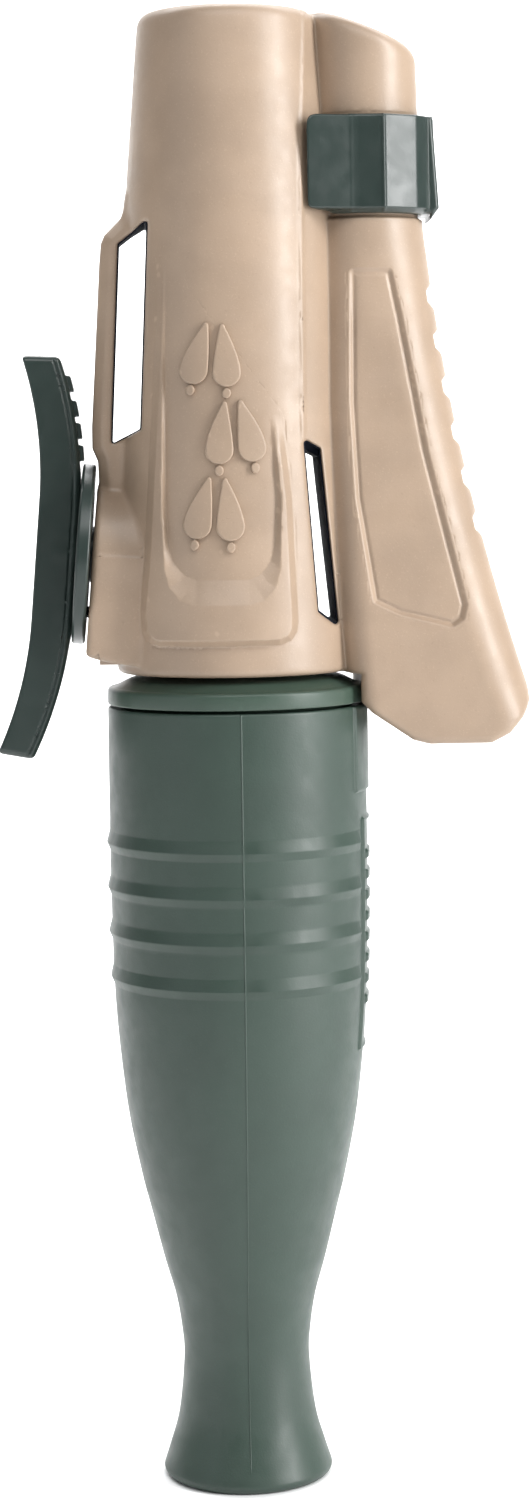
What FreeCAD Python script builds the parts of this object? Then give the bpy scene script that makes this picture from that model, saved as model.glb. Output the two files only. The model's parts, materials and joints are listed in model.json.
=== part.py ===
import FreeCAD, Part
import math
import os
from FreeCAD import Placement, Rotation, Vector

# Grunt tube call (deer call). Millimetres, +Z from the bell mouth to the mouthpiece.
# Origin: centre of the bell mouth, on the axis of barrel and bell.
# +X points to the side tube and grip chamber, -X to the tone dial, -Y is the front.

# ---------------------------------------------------------------- driving dimensions
# Barrel
BARREL_BOTTOM_Z = 131.8
BARREL_TOP_Z = 240.0
BARREL_BOTTOM_R = 19.5
BARREL_WAIST_Z = 209.0
BARREL_WAIST_R = 17.1
BARREL_TOP_R = 14.7
LIP_R = 1.7
LIP_FLAT_R = 12.3
BORE_R = 9.5
MOUTH_BORE_R = 11.0
MOUTH_BORE_Z = 204.5
SOCKET_R = 12.45
SOCKET_TOP_Z = 138.3

# Side tube (snort-wheeze tube)
SIDE_X = 22.3
SIDE_R_LOW = 9.4
SIDE_R_TOP = 8.7
SIDE_Z_LOW = 190.0
SIDE_BORE_R = 6.0
SIDE_LEDGE_R = 4.8
SIDE_LEDGE_Z = 195.2
RING_LOW_Z = 206.2
RING_TOP_Z = 222.2
RING_SEAT_R = 8.85
RING_INNER_R = 8.93
RING_OUTER_R = 11.7
RING_FRONT_DEG = 128.5
RING_BACK_DEG = 93.0
RING_TURN_DEG = 35.0
WING_TIP = (12.2, -13.4)
WING_GAP = 0.45

# Grip chamber
CHAMBER_HALF_DEPTH = 11.5
CHAMBER_CAVITY_HALF = 9.2
CHAMBER_BOTTOM_Z = 120.0
CHAMBER_TOP_Z = 203.0
GRIP_TOP = (32.6, 200.0)
GRIP_MIDDLE = (38.8, 162.0)
GRIP_BOTTOM = (48.0, 128.4)
NOTCH_COUNT = 6
NOTCH_FIRST_Z = 192.8
NOTCH_PITCH = 7.44
NOTCH_DEPTH = 1.3
RELIEF_R = 21.9
RELIEF_TOP_Z = 131.3

# Tone dial, in its own tilted frame: z outward, x up along the handle, y to the back
DIAL_CENTRE = Vector(-23.65, 0, 151.3)
DIAL_TILT = 4.63
DISC_R = 14.85
DISC_T = 2.2
PAD_GAP = 0.4
BOSS_R = 11.5
BOSS_DROP = 17.2
SHAFT_R = 2.4
SHAFT_TIP_R = 1.5
BUSH_R = 3.6
BUSH_FLANGE_R = 5.5
BUSH_LENGTH = 9.0
HANDLE_UP = 31.9
HANDLE_DOWN = 33.2
HANDLE_HALF_WIDTH = 5.5
HANDLE_OUT = 8.9
HANDLE_FLAT_IN = (-9.0, 7.0)
HANDLE_IN_R = 66.0
HANDLE_FLAT_OUT = (-11.0, 8.5)
HANDLE_OUT_R = 63.0
PINION_FROM = -21.6
PINION_TO = -18.4
PINION_TEETH = 10
PINION_MODULE = 0.6
PINION_PITCH_R = PINION_MODULE * PINION_TEETH / 2
DETENT_X = 9.5
BALL_R = 1.0

# Bell and collar
COLLAR_R = 21.2
COLLAR_LOW_Z = 126.7
SPIGOT_R = 12.4
SPIGOT_BORE_R = 10.0
SPIGOT_TOP_Z = 138.0
BELL_TOP_Z = 126.2
BELL_R = 21.2
BELL_WALL = 2.2
MOUTH_R = 13.8
MOUTH_LAND_R = 11.5
MOUTH_LAND = 3.0
BELL_RIDGES = 4
BELL_RIDGE_Z = 104.4
BELL_RIDGE_PITCH = 7.3
BELL_RIDGE_PROUD = 0.4

# Reed insert
INSERT_R = 9.4
INSERT_LOW_Z = 133.0
INSERT_TOP_Z = 141.0
BOARD_X = (0.3, 7.9)
BOARD_Y = (-2.6, 3.4)
BOARD_Z = (134.0, 196.0)
REED_T = 0.3
NOSE_REACH = 8.3

# Screws through the shells, head at the back
SCREW_R = 1.1
SCREW_HOLE_R = 1.15
SCREW_HEAD_R = 2.1
SCREW_HEAD_T = 1.5
SCREW_TIP_Y = -3.2
SCREW_SEATS = [
    (-13.3, 225.0, 5.5),
    (13.6, 229.0, 5.0),
    (-17.2, 165.5, 2.2),
    (-16.8, 143.0, 7.5),
    (44.3, 128.6, 7.0),
    (14.3, 176.5, 7.0),
]

PARTS_FOLDER = "parts"


# ---------------------------------------------------------------- shape helpers
def cylinder(radius, low, high, x=0.0, y=0.0):
    """Upright cylinder between two heights."""
    return Part.makeCylinder(radius, high - low, Vector(x, y, low), Vector(0, 0, 1))


def tube(outer, inner, low, high, x=0.0):
    """Upright tube between two heights."""
    return cylinder(outer, low, high, x).cut(cylinder(inner, low - 1, high + 1, x))


def box(x_span, y_span, z_span):
    """Box from its spans along X, Y and Z."""
    size = [span[1] - span[0] for span in (x_span, y_span, z_span)]
    return Part.makeBox(size[0], size[1], size[2], Vector(x_span[0], y_span[0], z_span[0]))


def prism(points, y_low, y_high):
    """Closed outline of (x, z) points carried along Y."""
    corners = [Vector(x, y_low, z) for x, z in points]
    wire = Part.makePolygon(corners + corners[:1])
    return Part.Face(wire).extrude(Vector(0, y_high - y_low, 0))


def turned(points):
    """Closed outline of (radius, z) points turned about the Z axis."""
    corners = [Vector(r, 0, z) for r, z in points]
    wire = Part.makePolygon(corners + corners[:1])
    return Part.Face(wire).revolve(Vector(0, 0, 0), Vector(0, 0, 1), 360)


def spline_edge(points):
    """Smooth edge through (radius, z) points in the XZ plane."""
    curve = Part.BSplineCurve()
    curve.interpolate([Vector(r, 0, z) for r, z in points])
    return curve.toShape()


def arc_edge(start, middle, end):
    """Arc through three (x, z) points in the XZ plane."""
    places = [Vector(x, 0, z) for x, z in (start, middle, end)]
    return Part.Arc(places[0], places[1], places[2]).toShape()


def line_edge(start, end):
    """Straight edge between two (x, z) points in the XZ plane."""
    return Part.makeLine(Vector(start[0], 0, start[1]), Vector(end[0], 0, end[1]))


def fused(shapes):
    """One solid from overlapping shapes."""
    whole = shapes[0].multiFuse(shapes[1:])
    return whole.removeSplitter()


def in_dial_frame(shape):
    """Carry a shape from the dial's own frame into the call's frame."""
    turn = Rotation(Vector(0, 1, 0), DIAL_TILT - 90)
    moved = shape.copy()
    moved.Placement = Placement(DIAL_CENTRE, turn).multiply(moved.Placement)
    return moved


def export(shape, node):
    """Write one sub-part as a STEP file."""
    if not shape.isValid():
        print("not valid:", node)
    solids = shape.Solids
    whole = solids[0] if len(solids) == 1 else Part.makeCompound(solids)
    whole.exportStep(os.path.join(PARTS_FOLDER, node + ".step"))
    print(node, "solids", len(solids), "volume", round(shape.Volume, 1))


# ---------------------------------------------------------------- body, outside
def barrel_radius(z):
    """Outer radius of the barrel at a height."""
    if z < BARREL_WAIST_Z:
        part = (z - BARREL_BOTTOM_Z) / (BARREL_WAIST_Z - BARREL_BOTTOM_Z)
        return BARREL_BOTTOM_R + (BARREL_WAIST_R - BARREL_BOTTOM_R) * part
    part = (z - BARREL_WAIST_Z) / (BARREL_TOP_Z - BARREL_WAIST_Z)
    return BARREL_WAIST_R + (BARREL_TOP_R - BARREL_WAIST_R) * part


def barrel_outside(proud=0.0):
    """Tapered round barrel with a rounded lip at the mouth end."""
    lip_z = BARREL_TOP_Z - LIP_R
    lip_out = barrel_radius(lip_z) + proud
    middle = (LIP_FLAT_R + (lip_out - LIP_FLAT_R) * 0.72, BARREL_TOP_Z - LIP_R * 0.28)
    edges = [
        line_edge((0, BARREL_BOTTOM_Z), (BARREL_BOTTOM_R + proud, BARREL_BOTTOM_Z)),
        line_edge((BARREL_BOTTOM_R + proud, BARREL_BOTTOM_Z), (BARREL_WAIST_R + proud, BARREL_WAIST_Z)),
        line_edge((BARREL_WAIST_R + proud, BARREL_WAIST_Z), (lip_out, lip_z)),
        arc_edge((lip_out, lip_z), middle, (LIP_FLAT_R, BARREL_TOP_Z)),
        line_edge((LIP_FLAT_R, BARREL_TOP_Z), (0, BARREL_TOP_Z)),
        line_edge((0, BARREL_TOP_Z), (0, BARREL_BOTTOM_Z)),
    ]
    return Part.Face(Part.Wire(edges)).revolve(Vector(0, 0, 0), Vector(0, 0, 1), 360)


def side_tube_outside():
    """Side tube, slightly tapered, with its mouth cut on a slope."""
    cone = Part.makeCone(
        SIDE_R_LOW, SIDE_R_TOP, BARREL_TOP_Z - SIDE_Z_LOW, Vector(SIDE_X, 0, SIDE_Z_LOW), Vector(0, 0, 1)
    )
    slope = prism([(10, 242.3), (14.5, 240.4), (29.5, 234.4), (33, 231.0), (33, 245), (10, 245)], -20, 20)
    return cone.cut(slope)


def side_web():
    """Web that joins the side tube to the barrel over its whole length."""
    web = [(12, 190), (SIDE_X, 190), (SIDE_X, 237.2), (14.5, 239.8), (12, 239.8)]
    return prism(web, -5.5, 5.5)


def chamber_outside():
    """Grip chamber: an outline with a curved finger edge, rounded front and back."""
    edges = [
        line_edge((12, CHAMBER_TOP_Z), (31.2, CHAMBER_TOP_Z)),
        line_edge((31.2, CHAMBER_TOP_Z), GRIP_TOP),
        arc_edge(GRIP_TOP, GRIP_MIDDLE, GRIP_BOTTOM),
        arc_edge(GRIP_BOTTOM, (46.2, 123.3), (40.9, CHAMBER_BOTTOM_Z)),
        line_edge((40.9, CHAMBER_BOTTOM_Z), (30.7, CHAMBER_BOTTOM_Z)),
        line_edge((30.7, CHAMBER_BOTTOM_Z), (26.9, 121.3)),
        line_edge((26.9, 121.3), (19.9, 126.9)),
        line_edge((19.9, 126.9), (19.9, BARREL_BOTTOM_Z)),
        line_edge((19.9, BARREL_BOTTOM_Z), (12, BARREL_BOTTOM_Z)),
        line_edge((12, BARREL_BOTTOM_Z), (12, CHAMBER_TOP_Z)),
    ]
    face = Part.Face(Part.Wire(edges))
    face.translate(Vector(0, -CHAMBER_HALF_DEPTH, 0))
    block = face.extrude(Vector(0, 2 * CHAMBER_HALF_DEPTH, 0))
    taper = [
        (9.4, CHAMBER_TOP_Z),
        (CHAMBER_HALF_DEPTH, 176.0),
        (CHAMBER_HALF_DEPTH, CHAMBER_BOTTOM_Z - 1),
    ]
    front = [Vector(0, -y, z) for y, z in taper]
    back = [Vector(0, y, z) for y, z in reversed(taper)]
    side = Part.Face(Part.makePolygon(front + back + front[:1]))
    return rounded_along_grip(block).common(side.extrude(Vector(60, 0, 0)))


def rounded_along_grip(block):
    """Round the long edges of the finger side, front and back."""
    chosen = []
    for edge in block.Edges:
        middle = edge.BoundBox.Center
        on_face = abs(abs(middle.y) - CHAMBER_HALF_DEPTH) < 0.01 and edge.BoundBox.YLength < 0.01
        if on_face and middle.x > 35 and edge.BoundBox.ZLength > 3:
            chosen.append(edge)
    return block.makeFillet(4.5, chosen)


def rail_outside():
    """Thin rail on the dial side that stands off the barrel."""
    outline = [
        (-17.2, 208.6),
        (-17.6, 206.6),
        (-21.0, 203.0),
        (-21.5, 199.0),
        (-23.1, 172.2),
        (-23.1, 168.7),
        (-22.0, 166.5),
        (-14.0, 158.0),
        (-12.0, 208.6),
    ]
    return prism(outline, -4.6, 4.6)


def boss_outside():
    """Boss behind the dial: a round head with a square foot, on the tilted axis."""
    depth = 14.0
    head = Part.makeCylinder(BOSS_R, depth - PAD_GAP, Vector(0, 0, -depth), Vector(0, 0, 1))
    foot = Part.makeBox(
        BOSS_DROP, 2 * BOSS_R, depth - PAD_GAP, Vector(-BOSS_DROP, -BOSS_R, -depth)
    )
    boss = in_dial_frame(head.fuse(foot).removeSplitter())
    return boss.cut(box((-40, 0), (-20, 20), (120, BARREL_BOTTOM_Z + 2.2)))


def front_ridge():
    """Raised U-shaped frame on the front of the barrel."""
    outside = [(-11.7, 198.3), (-14.8, 152.2), (-15.8, 142.5), (-14.6, 137.8), (-11.6, 136.8),
               (6.2, 137.0), (8.8, 138.0), (9.5, 140.9), (8.8, 160.3), (7.4, 172.0)]
    inside = [(6.0, 172.0), (7.1, 160.3), (6.8, 147.7), (4.2, 144.1), (1.9, 143.4),
              (-6.9, 143.4), (-9.2, 144.1), (-11.5, 147.6), (-12.0, 160.2), (-10.7, 198.3)]
    frame = prism(outside + inside, -25, -8)
    return barrel_outside(1.1).common(frame)


def body_outside():
    """Everything solid of the body before it is hollowed."""
    return fused([
        barrel_outside(),
        side_tube_outside(),
        side_web(),
        chamber_outside(),
        rail_outside(),
        boss_outside(),
        front_ridge(),
    ])


# ---------------------------------------------------------------- body, cuts
def grip_edge(z):
    """X of the finger edge at a height, on the arc of the chamber's outline."""
    arc = Part.Arc(Vector(*GRIP_TOP, 0), Vector(*GRIP_MIDDLE, 0), Vector(*GRIP_BOTTOM, 0))
    level = Part.Line(Vector(0, z, 0), Vector(1, z, 0))
    return min(point.X for point in arc.intersect(level))


def finger_notches():
    """Grip notches along the finger edge."""
    notches = []
    for step in range(NOTCH_COUNT):
        z = NOTCH_FIRST_Z - step * NOTCH_PITCH
        floor = grip_edge(z) - NOTCH_DEPTH
        outline = [(floor, z + 1.0), (floor + 0.3, z - 1.2), (floor + 3.5, z - 2.7), (floor + 3.5, z + 3.0)]
        notches.append(prism(outline, -15, 15))
    return notches


def slots():
    """Two long slots right through the body, front to back."""
    left = [(-13.4, 205.9), (-18.4, 202.1), (-20.0, 169.1), (-15.0, 171.6)]
    right = [(10.9, 169.8), (13.8, 168.2), (16.5, 139.0), (12.9, 141.8)]
    return [prism(left, -25, 25), prism(right, -25, 25)]


def air_ways():
    """Barrel bore, mouth bore, bell socket and side tube bore."""
    return [
        cylinder(BORE_R, SOCKET_TOP_Z - 1, MOUTH_BORE_Z + 1),
        cylinder(MOUTH_BORE_R, MOUTH_BORE_Z, BARREL_TOP_Z + 1),
        cylinder(SOCKET_R, BARREL_BOTTOM_Z - 1, SOCKET_TOP_Z),
        cylinder(SIDE_BORE_R, SIDE_LEDGE_Z, BARREL_TOP_Z + 1, SIDE_X),
        cylinder(SIDE_LEDGE_R, SIDE_LEDGE_Z - 4, SIDE_LEDGE_Z + 1, SIDE_X),
    ]


def chamber_cavity():
    """Hollow of the grip chamber with its open foot, around one screw pillar."""
    outline = [(17.0, 193.0), (29.4, 193.0), (31.0, 185.0), (33.3, 171.0), (36.7, 156.0),
               (45.0, 130.5), (43.8, 125.0), (40.5, 122.2), (31.0, 122.2), (24.2, 127.0),
               (23.6, 131.5), (20.2, 139.5), (17.7, 169.0)]
    hollow = prism(outline, -CHAMBER_CAVITY_HALF, CHAMBER_CAVITY_HALF)
    foot = box((32.2, 40.2), (-7.0, 7.0), (CHAMBER_BOTTOM_Z - 1, 123.0))
    seat = SCREW_SEATS[4]
    pillar = Part.makeCylinder(3.0, 30, Vector(seat[0], -15, seat[1]), Vector(0, 1, 0))
    return hollow.cut(pillar).fuse(foot)


def chamber_panel():
    """Shallow teardrop recess on the front of the chamber."""
    outline = [(19.0, 197.3), (26.0, 197.3), (27.6, 189.7), (31.4, 167.6), (37.4, 142.5),
               (36.8, 140.0), (34.9, 138.7), (26.2, 140.9), (21.9, 143.0), (19.3, 159.9), (18.6, 175.5)]
    face = -CHAMBER_HALF_DEPTH
    return prism(outline, face - 1, face + 0.5)


def ring_seat():
    """Straight seat for the wheeze ring on the side tube, clear of the barrel."""
    outer = cylinder(RING_OUTER_R + 1.5, RING_LOW_Z - 0.4, RING_TOP_Z + 0.4, SIDE_X)
    inner = cylinder(RING_SEAT_R, RING_LOW_Z - 2, RING_TOP_Z + 2, SIDE_X)
    return outer.cut(inner).cut(barrel_outside()).cut(side_web())


def wheeze_vent(outer_reach):
    """Side hole under the ring, at the back of the side tube."""
    hole = Part.makeBox(outer_reach, 5.0, 7.0, Vector(0, -2.5, 211.5))
    hole.rotate(Vector(0, 0, 0), Vector(0, 0, 1), 80)
    hole.translate(Vector(SIDE_X, 0, 0))
    return hole


def dial_passage():
    """Stepped hole for bushing, seal and shaft, and the pocket of the detent."""
    steps = [
        Part.makeCylinder(BUSH_FLANGE_R + 0.05, 2.0, Vector(0, 0, -1.4), Vector(0, 0, 1)),
        Part.makeCylinder(BUSH_R + 0.05, 13.0, Vector(0, 0, -BUSH_LENGTH - 2.0), Vector(0, 0, 1)),
        Part.makeCylinder(SHAFT_R + 0.2, 16.0, Vector(0, 0, -16.5), Vector(0, 0, 1)),
        Part.makeCylinder(BALL_R + 0.1, 6.0, Vector(-DETENT_X, 0, -6.0), Vector(0, 0, 1)),
    ]
    return [in_dial_frame(step) for step in steps]


def screw_holes():
    """Holes for the shell screws, with a seat for each head at the back."""
    holes = []
    for x, z, seat_y in SCREW_SEATS:
        tip = Vector(x, SCREW_TIP_Y - 0.3, z)
        holes.append(Part.makeCylinder(SCREW_HOLE_R, 30, tip, Vector(0, 1, 0)))
        holes.append(Part.makeCylinder(SCREW_HEAD_R + 0.2, 20, Vector(x, seat_y, z), Vector(0, 1, 0)))
    return holes


def make_shells():
    """Front and back shell: one hollow body, parted along its middle plane."""
    relief = cylinder(RELIEF_R, CHAMBER_BOTTOM_Z - 1, RELIEF_TOP_Z)
    vent = wheeze_vent(RING_SEAT_R + 2)
    cuts = [relief, ring_seat(), chamber_cavity(), chamber_panel(), vent]
    cuts += slots() + air_ways() + finger_notches() + dial_passage() + screw_holes()
    body = body_outside()
    for cut in cuts:
        body = body.cut(cut)
    front = body.common(box((-60, 60), (-40, -0.01), (100, 260)))
    back = body.common(box((-60, 60), (0.01, 40), (100, 260)))
    return front, back


def make_shell_screws():
    """Pan-head screws that hold the shells together."""
    screws = []
    for x, z, seat_y in SCREW_SEATS:
        shank = Part.makeCylinder(SCREW_R, seat_y - SCREW_TIP_Y, Vector(x, SCREW_TIP_Y, z), Vector(0, 1, 0))
        head = Part.makeCylinder(SCREW_HEAD_R, SCREW_HEAD_T, Vector(x, seat_y, z), Vector(0, 1, 0))
        rim = [edge for edge in head.Edges if abs(edge.BoundBox.YMax - seat_y - SCREW_HEAD_T) < 0.01]
        rim = [edge for edge in rim if edge.BoundBox.YLength < 0.01]
        head = head.makeFillet(0.5, rim)
        for turn in (0, 90):
            slot = box((-1.3, 1.3), (seat_y + 0.7, seat_y + 3), (-0.3, 0.3))
            slot.rotate(Vector(0, 0, 0), Vector(0, 1, 0), turn)
            slot.translate(Vector(x, 0, z))
            head = head.cut(slot)
        screws.append(shank.fuse(head).removeSplitter())
    return Part.makeCompound(screws)


# ---------------------------------------------------------------- liners and reed insert
def make_mouth_liner():
    """Liner of the mouthpiece, which carries the air past the shells' joint."""
    return tube(10.95, 8.6, 206.0, 238.5)


def make_liner_seal():
    """Flat ring under the mouth liner."""
    return tube(10.9, 8.9, MOUTH_BORE_Z + 0.05, 205.95)


def make_wheeze_liner():
    """Liner of the side tube with its side hole."""
    return tube(5.95, 4.6, 197.6, 231.0, SIDE_X).cut(wheeze_vent(8.0))


def make_wheeze_plate():
    """Plate with a narrow slot that makes the wheeze."""
    plate = cylinder(5.9, SIDE_LEDGE_Z + 0.02, 197.5, SIDE_X)
    slot = box((SIDE_X - 3.2, SIDE_X + 3.2), (-0.5, 0.5), (190, 200))
    dish = Part.makeCone(1.5, 4.2, 1.6, Vector(SIDE_X, 0, 196.0), Vector(0, 0, 1))
    return plate.cut(slot).cut(dish)


def make_chamber_grille():
    """Slotted plate over the open foot of the chamber."""
    plate = box((31.6, 40.4), (-7.8, 7.8), (122.25, 123.6))
    for y in (-5.0, -2.5, 0.0, 2.5, 5.0):
        plate = plate.cut(box((33.0, 39.4), (y - 0.7, y + 0.7), (121, 125)))
    return plate


def board_block(gap=0.0):
    """Outer block of the tone board, or the pocket that takes it."""
    return box(
        (BOARD_X[0] - gap, BOARD_X[1] + gap),
        (BOARD_Y[0] - gap, BOARD_Y[1] + gap),
        (BOARD_Z[0] - gap, BOARD_Z[1] + gap),
    )


def make_reed_insert():
    """Plug at the foot of the reed, with two walls that guide the slider."""
    plug = cylinder(INSERT_R, INSERT_LOW_Z, INSERT_TOP_Z)
    walls = box((-6.0, -1.2), (-7.1, 7.1), (INSERT_TOP_Z - 1, 168.0))
    walls = walls.cut(box((-9, 0), (-6.0, 6.0), (INSERT_TOP_Z, 170)))
    passage = box((1.8, 6.4), (-1.6, 1.4), (INSERT_LOW_Z - 1, BOARD_Z[0] + 1))
    groove = tube(INSERT_R + 1, 8.4, 139.0, 140.6)
    whole = plug.fuse(walls.common(cylinder(INSERT_R, 130, 180))).removeSplitter()
    return whole.cut(board_block(0.02)).cut(passage).cut(groove)


def make_insert_seal():
    """Seal ring around the plug."""
    return Part.makeTorus(8.75 + 0.35, 0.35, Vector(0, 0, 139.8))


def make_tone_board():
    """Trough under the reed, open at the foot towards the bell."""
    trough = box((1.8, 6.4), (BOARD_Y[0] - 1, 1.4), (BOARD_Z[0] - 1, 188.0))
    tail = box((1.0, 7.2), (BOARD_Y[0] - 1, BOARD_Y[0] + 0.01), (BOARD_Z[0] - 1, 190.0))
    nose = prism([(-1, 188), (-1, 197), (9, 197), (9, 188)], BOARD_Y[0] - 2, BOARD_Y[0])
    return board_block().cut(trough).cut(tail).cut(nose)


def make_reed():
    """Thin reed that lies over the trough, free at its upper end."""
    low = BOARD_Y[0] - 0.02
    blade = box((1.1, 7.1), (low - REED_T, low), (141.6, 192.0))
    corners = [edge for edge in blade.Edges if abs(edge.BoundBox.ZMin - 192) < 0.01]
    corners = [edge for edge in corners if edge.BoundBox.YLength > 0.2]
    return blade.makeFillet(2.4, corners)


def make_reed_wedge():
    """Wedge that holds the reed's tail on the board."""
    front = BOARD_Y[0] - 0.02 - REED_T
    outline = [Vector(0, front - 0.02, 141.4), Vector(0, front - 2.0, 141.4), Vector(0, front - 0.8, 150.5),
               Vector(0, front - 0.02, 150.5)]
    face = Part.Face(Part.makePolygon(outline + outline[:1]))
    face.translate(Vector(1.1, 0, 0))
    return face.extrude(Vector(6.0, 0, 0))


def make_board_guide():
    """Guide that centres the board's upper end and leaves two air windows."""
    plate = cylinder(INSERT_R, 193.0, 199.0)
    windows = [box((-7, 7), (4.4, 12), (190, 200)), box((-7, 7), (-12, -3.6), (190, 200))]
    windows.append(box((-7.5, -1.5), (-3.0, 3.0), (190, 200)))
    rim = tube(INSERT_R + 1, 8.3, 190, 200)
    for window in windows:
        plate = plate.cut(window.cut(rim))
    return plate.cut(board_block(0.02)).cut(box((1.8, 6.4), (-6, 1.4), (190, 200)))


# ---------------------------------------------------------------- tone dial
def make_dial_bushing():
    """Flanged bushing of the dial shaft."""
    flange = Part.makeCylinder(BUSH_FLANGE_R, 1.0, Vector(0, 0, -PAD_GAP - 0.98), Vector(0, 0, 1))
    sleeve = Part.makeCylinder(BUSH_R, BUSH_LENGTH - 0.5, Vector(0, 0, -BUSH_LENGTH), Vector(0, 0, 1))
    bore = Part.makeCylinder(SHAFT_R + 0.05, 30, Vector(0, 0, -20), Vector(0, 0, 1))
    return in_dial_frame(flange.fuse(sleeve).removeSplitter().cut(bore))


def make_dial_seal():
    """Seal ring on the dial shaft, below the bushing."""
    ring = Part.makeTorus(SHAFT_R + 0.05 + 0.55, 0.55, Vector(0, 0, -BUSH_LENGTH - 0.9))
    return in_dial_frame(ring)


def make_dial_shaft():
    """Shaft from the disc to the pinion, tapped for the handle screw."""
    shaft = Part.makeCylinder(SHAFT_R, 18.9, Vector(0, 0, -17.7), Vector(0, 0, 1))
    tip = Part.makeCylinder(SHAFT_TIP_R, 6.0, Vector(0, 0, -23.2), Vector(0, 0, 1))
    groove = Part.makeCylinder(SHAFT_R, 0.6, Vector(0, 0, -22.6), Vector(0, 0, 1))
    groove = groove.cut(Part.makeCylinder(1.1, 2, Vector(0, 0, -23), Vector(0, 0, 1)))
    thread = Part.makeCylinder(1.3, 10, Vector(0, 0, -8.0), Vector(0, 0, 1))
    return in_dial_frame(shaft.fuse(tip).removeSplitter().cut(groove).cut(thread))


def make_shaft_clip():
    """Open spring clip in the groove behind the pinion."""
    clip = Part.makeCylinder(2.6, 0.5, Vector(0, 0, -22.55), Vector(0, 0, 1))
    clip = clip.cut(Part.makeCylinder(1.12, 2, Vector(0, 0, -23), Vector(0, 0, 1)))
    return in_dial_frame(clip.cut(Part.makeBox(4, 1.5, 2, Vector(0, -0.75, -23))))


def tooth_outline(root, tip, root_half, tip_half):
    """Four corners of one tooth that points along +X."""
    return [Vector(root, -root_half, 0), Vector(tip, -tip_half, 0), Vector(tip, tip_half, 0),
            Vector(root, root_half, 0)]


def make_dial_pinion():
    """Pinion that drives the slider. A tooth gap faces the rack at rest."""
    height = PINION_TO - PINION_FROM
    core = Part.makeCylinder(PINION_PITCH_R - 0.75, height)
    corners = tooth_outline(PINION_PITCH_R - 1.0, PINION_PITCH_R + 0.5, 0.5, 0.16)
    tooth = Part.Face(Part.makePolygon(corners + corners[:1])).extrude(Vector(0, 0, height))
    teeth = []
    for index in range(PINION_TEETH):
        copy = tooth.copy()
        copy.rotate(Vector(0, 0, 0), Vector(0, 0, 1), 90 + (index + 0.5) * 360 / PINION_TEETH)
        teeth.append(copy)
    gear = core.multiFuse(teeth).removeSplitter()
    gear = gear.cut(Part.makeCylinder(SHAFT_TIP_R + 0.03, 20, Vector(0, 0, -5), Vector(0, 0, 1)))
    gear.translate(Vector(0, 0, PINION_FROM))
    return in_dial_frame(gear)


def make_tone_slider():
    """Slider: an arch around the pinion with a rack on one leg and a nose over the reed."""
    low = PINION_FROM - 0.1
    deep = PINION_TO - PINION_FROM + 0.2
    arch = Part.makeBox(14.3, 11.6, deep, Vector(-5.2, -5.8, low))
    arch = arch.cut(Part.makeBox(12.4, 7.9, deep + 2, Vector(-5.3, -4.2, low - 1)))
    pitch = math.pi * PINION_MODULE
    teeth = []
    for index in range(-3, 4):
        corners = [Vector(-0.55, 3.8, 0), Vector(-0.16, 2.5, 0), Vector(0.16, 2.5, 0), Vector(0.55, 3.8, 0)]
        tooth = Part.Face(Part.makePolygon(corners + corners[:1])).extrude(Vector(0, 0, deep))
        tooth.translate(Vector(index * pitch, 0, low))
        teeth.append(tooth.common(Part.makeBox(12.3, 9, 60, Vector(-5.2, -4, -40))))
    nose = Part.makeBox(2.0, 1.5, NOSE_REACH + 0.1, Vector(7.1, -5.8, low - NOSE_REACH))
    ears = [Part.makeBox(2.0, 1.2, 0.7, Vector(7.1, -4.5, low - depth)) for depth in (1.6, NOSE_REACH)]
    return in_dial_frame(arch.multiFuse(teeth + [nose] + ears).removeSplitter())


def make_slider_roller():
    """Roller between the slider's ears, which presses the reed to the board."""
    start = PINION_FROM - NOSE_REACH + 0.65
    return in_dial_frame(Part.makeCylinder(0.55, 5.8, Vector(8.1, -3.65, start), Vector(0, 0, 1)))


def make_dial_disc():
    """Dial disc with its shaft pocket and the track of the detent ball."""
    disc = Part.makeCylinder(DISC_R, DISC_T)
    rims = [edge for edge in disc.Edges if edge.BoundBox.ZLength < 0.01]
    disc = disc.makeFillet(0.5, rims)
    hub = Part.makeCylinder(4.6, 1.0, Vector(0, 0, -0.3), Vector(0, 0, 1))
    disc = disc.fuse(hub).removeSplitter()
    disc = disc.cut(Part.makeCylinder(SHAFT_R + 0.03, 3.0, Vector(0, 0, -1.7), Vector(0, 0, 1)))
    disc = disc.cut(Part.makeCylinder(1.6, 10, Vector(0, 0, -5), Vector(0, 0, 1)))
    track = Part.makeTorus(DETENT_X, BALL_R + 0.06, Vector(0, 0, -0.55))
    return in_dial_frame(disc.cut(track))


def bow(x, lift, flat, radius):
    """Height of the handle's inner or outer line: flat in the middle, then an arc to each end."""
    beyond = max(flat[0] - x, x - flat[1], 0.0)
    return lift + radius - math.sqrt(radius * radius - beyond * beyond)


def bow_inside(x):
    """Height of the handle's inner line."""
    return bow(x, DISC_T, HANDLE_FLAT_IN, HANDLE_IN_R)


def bow_outside(x):
    """Height of the handle's outer line."""
    return bow(x, HANDLE_OUT, HANDLE_FLAT_OUT, HANDLE_OUT_R)


def bow_edges(line, flat, ends):
    """Arc, straight middle and arc of one long side, as edges in the XZ plane."""
    low, high = ends
    places = [(low, line(low)), (flat[0], line(0.0)), (flat[1], line(0.0)), (high, line(high))]
    low_middle = (low + flat[0]) / 2
    high_middle = (high + flat[1]) / 2
    return [
        arc_edge(places[0], (low_middle, line(low_middle)), places[1]),
        line_edge(places[1], places[2]),
        arc_edge(places[2], (high_middle, line(high_middle)), places[3]),
    ]


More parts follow.
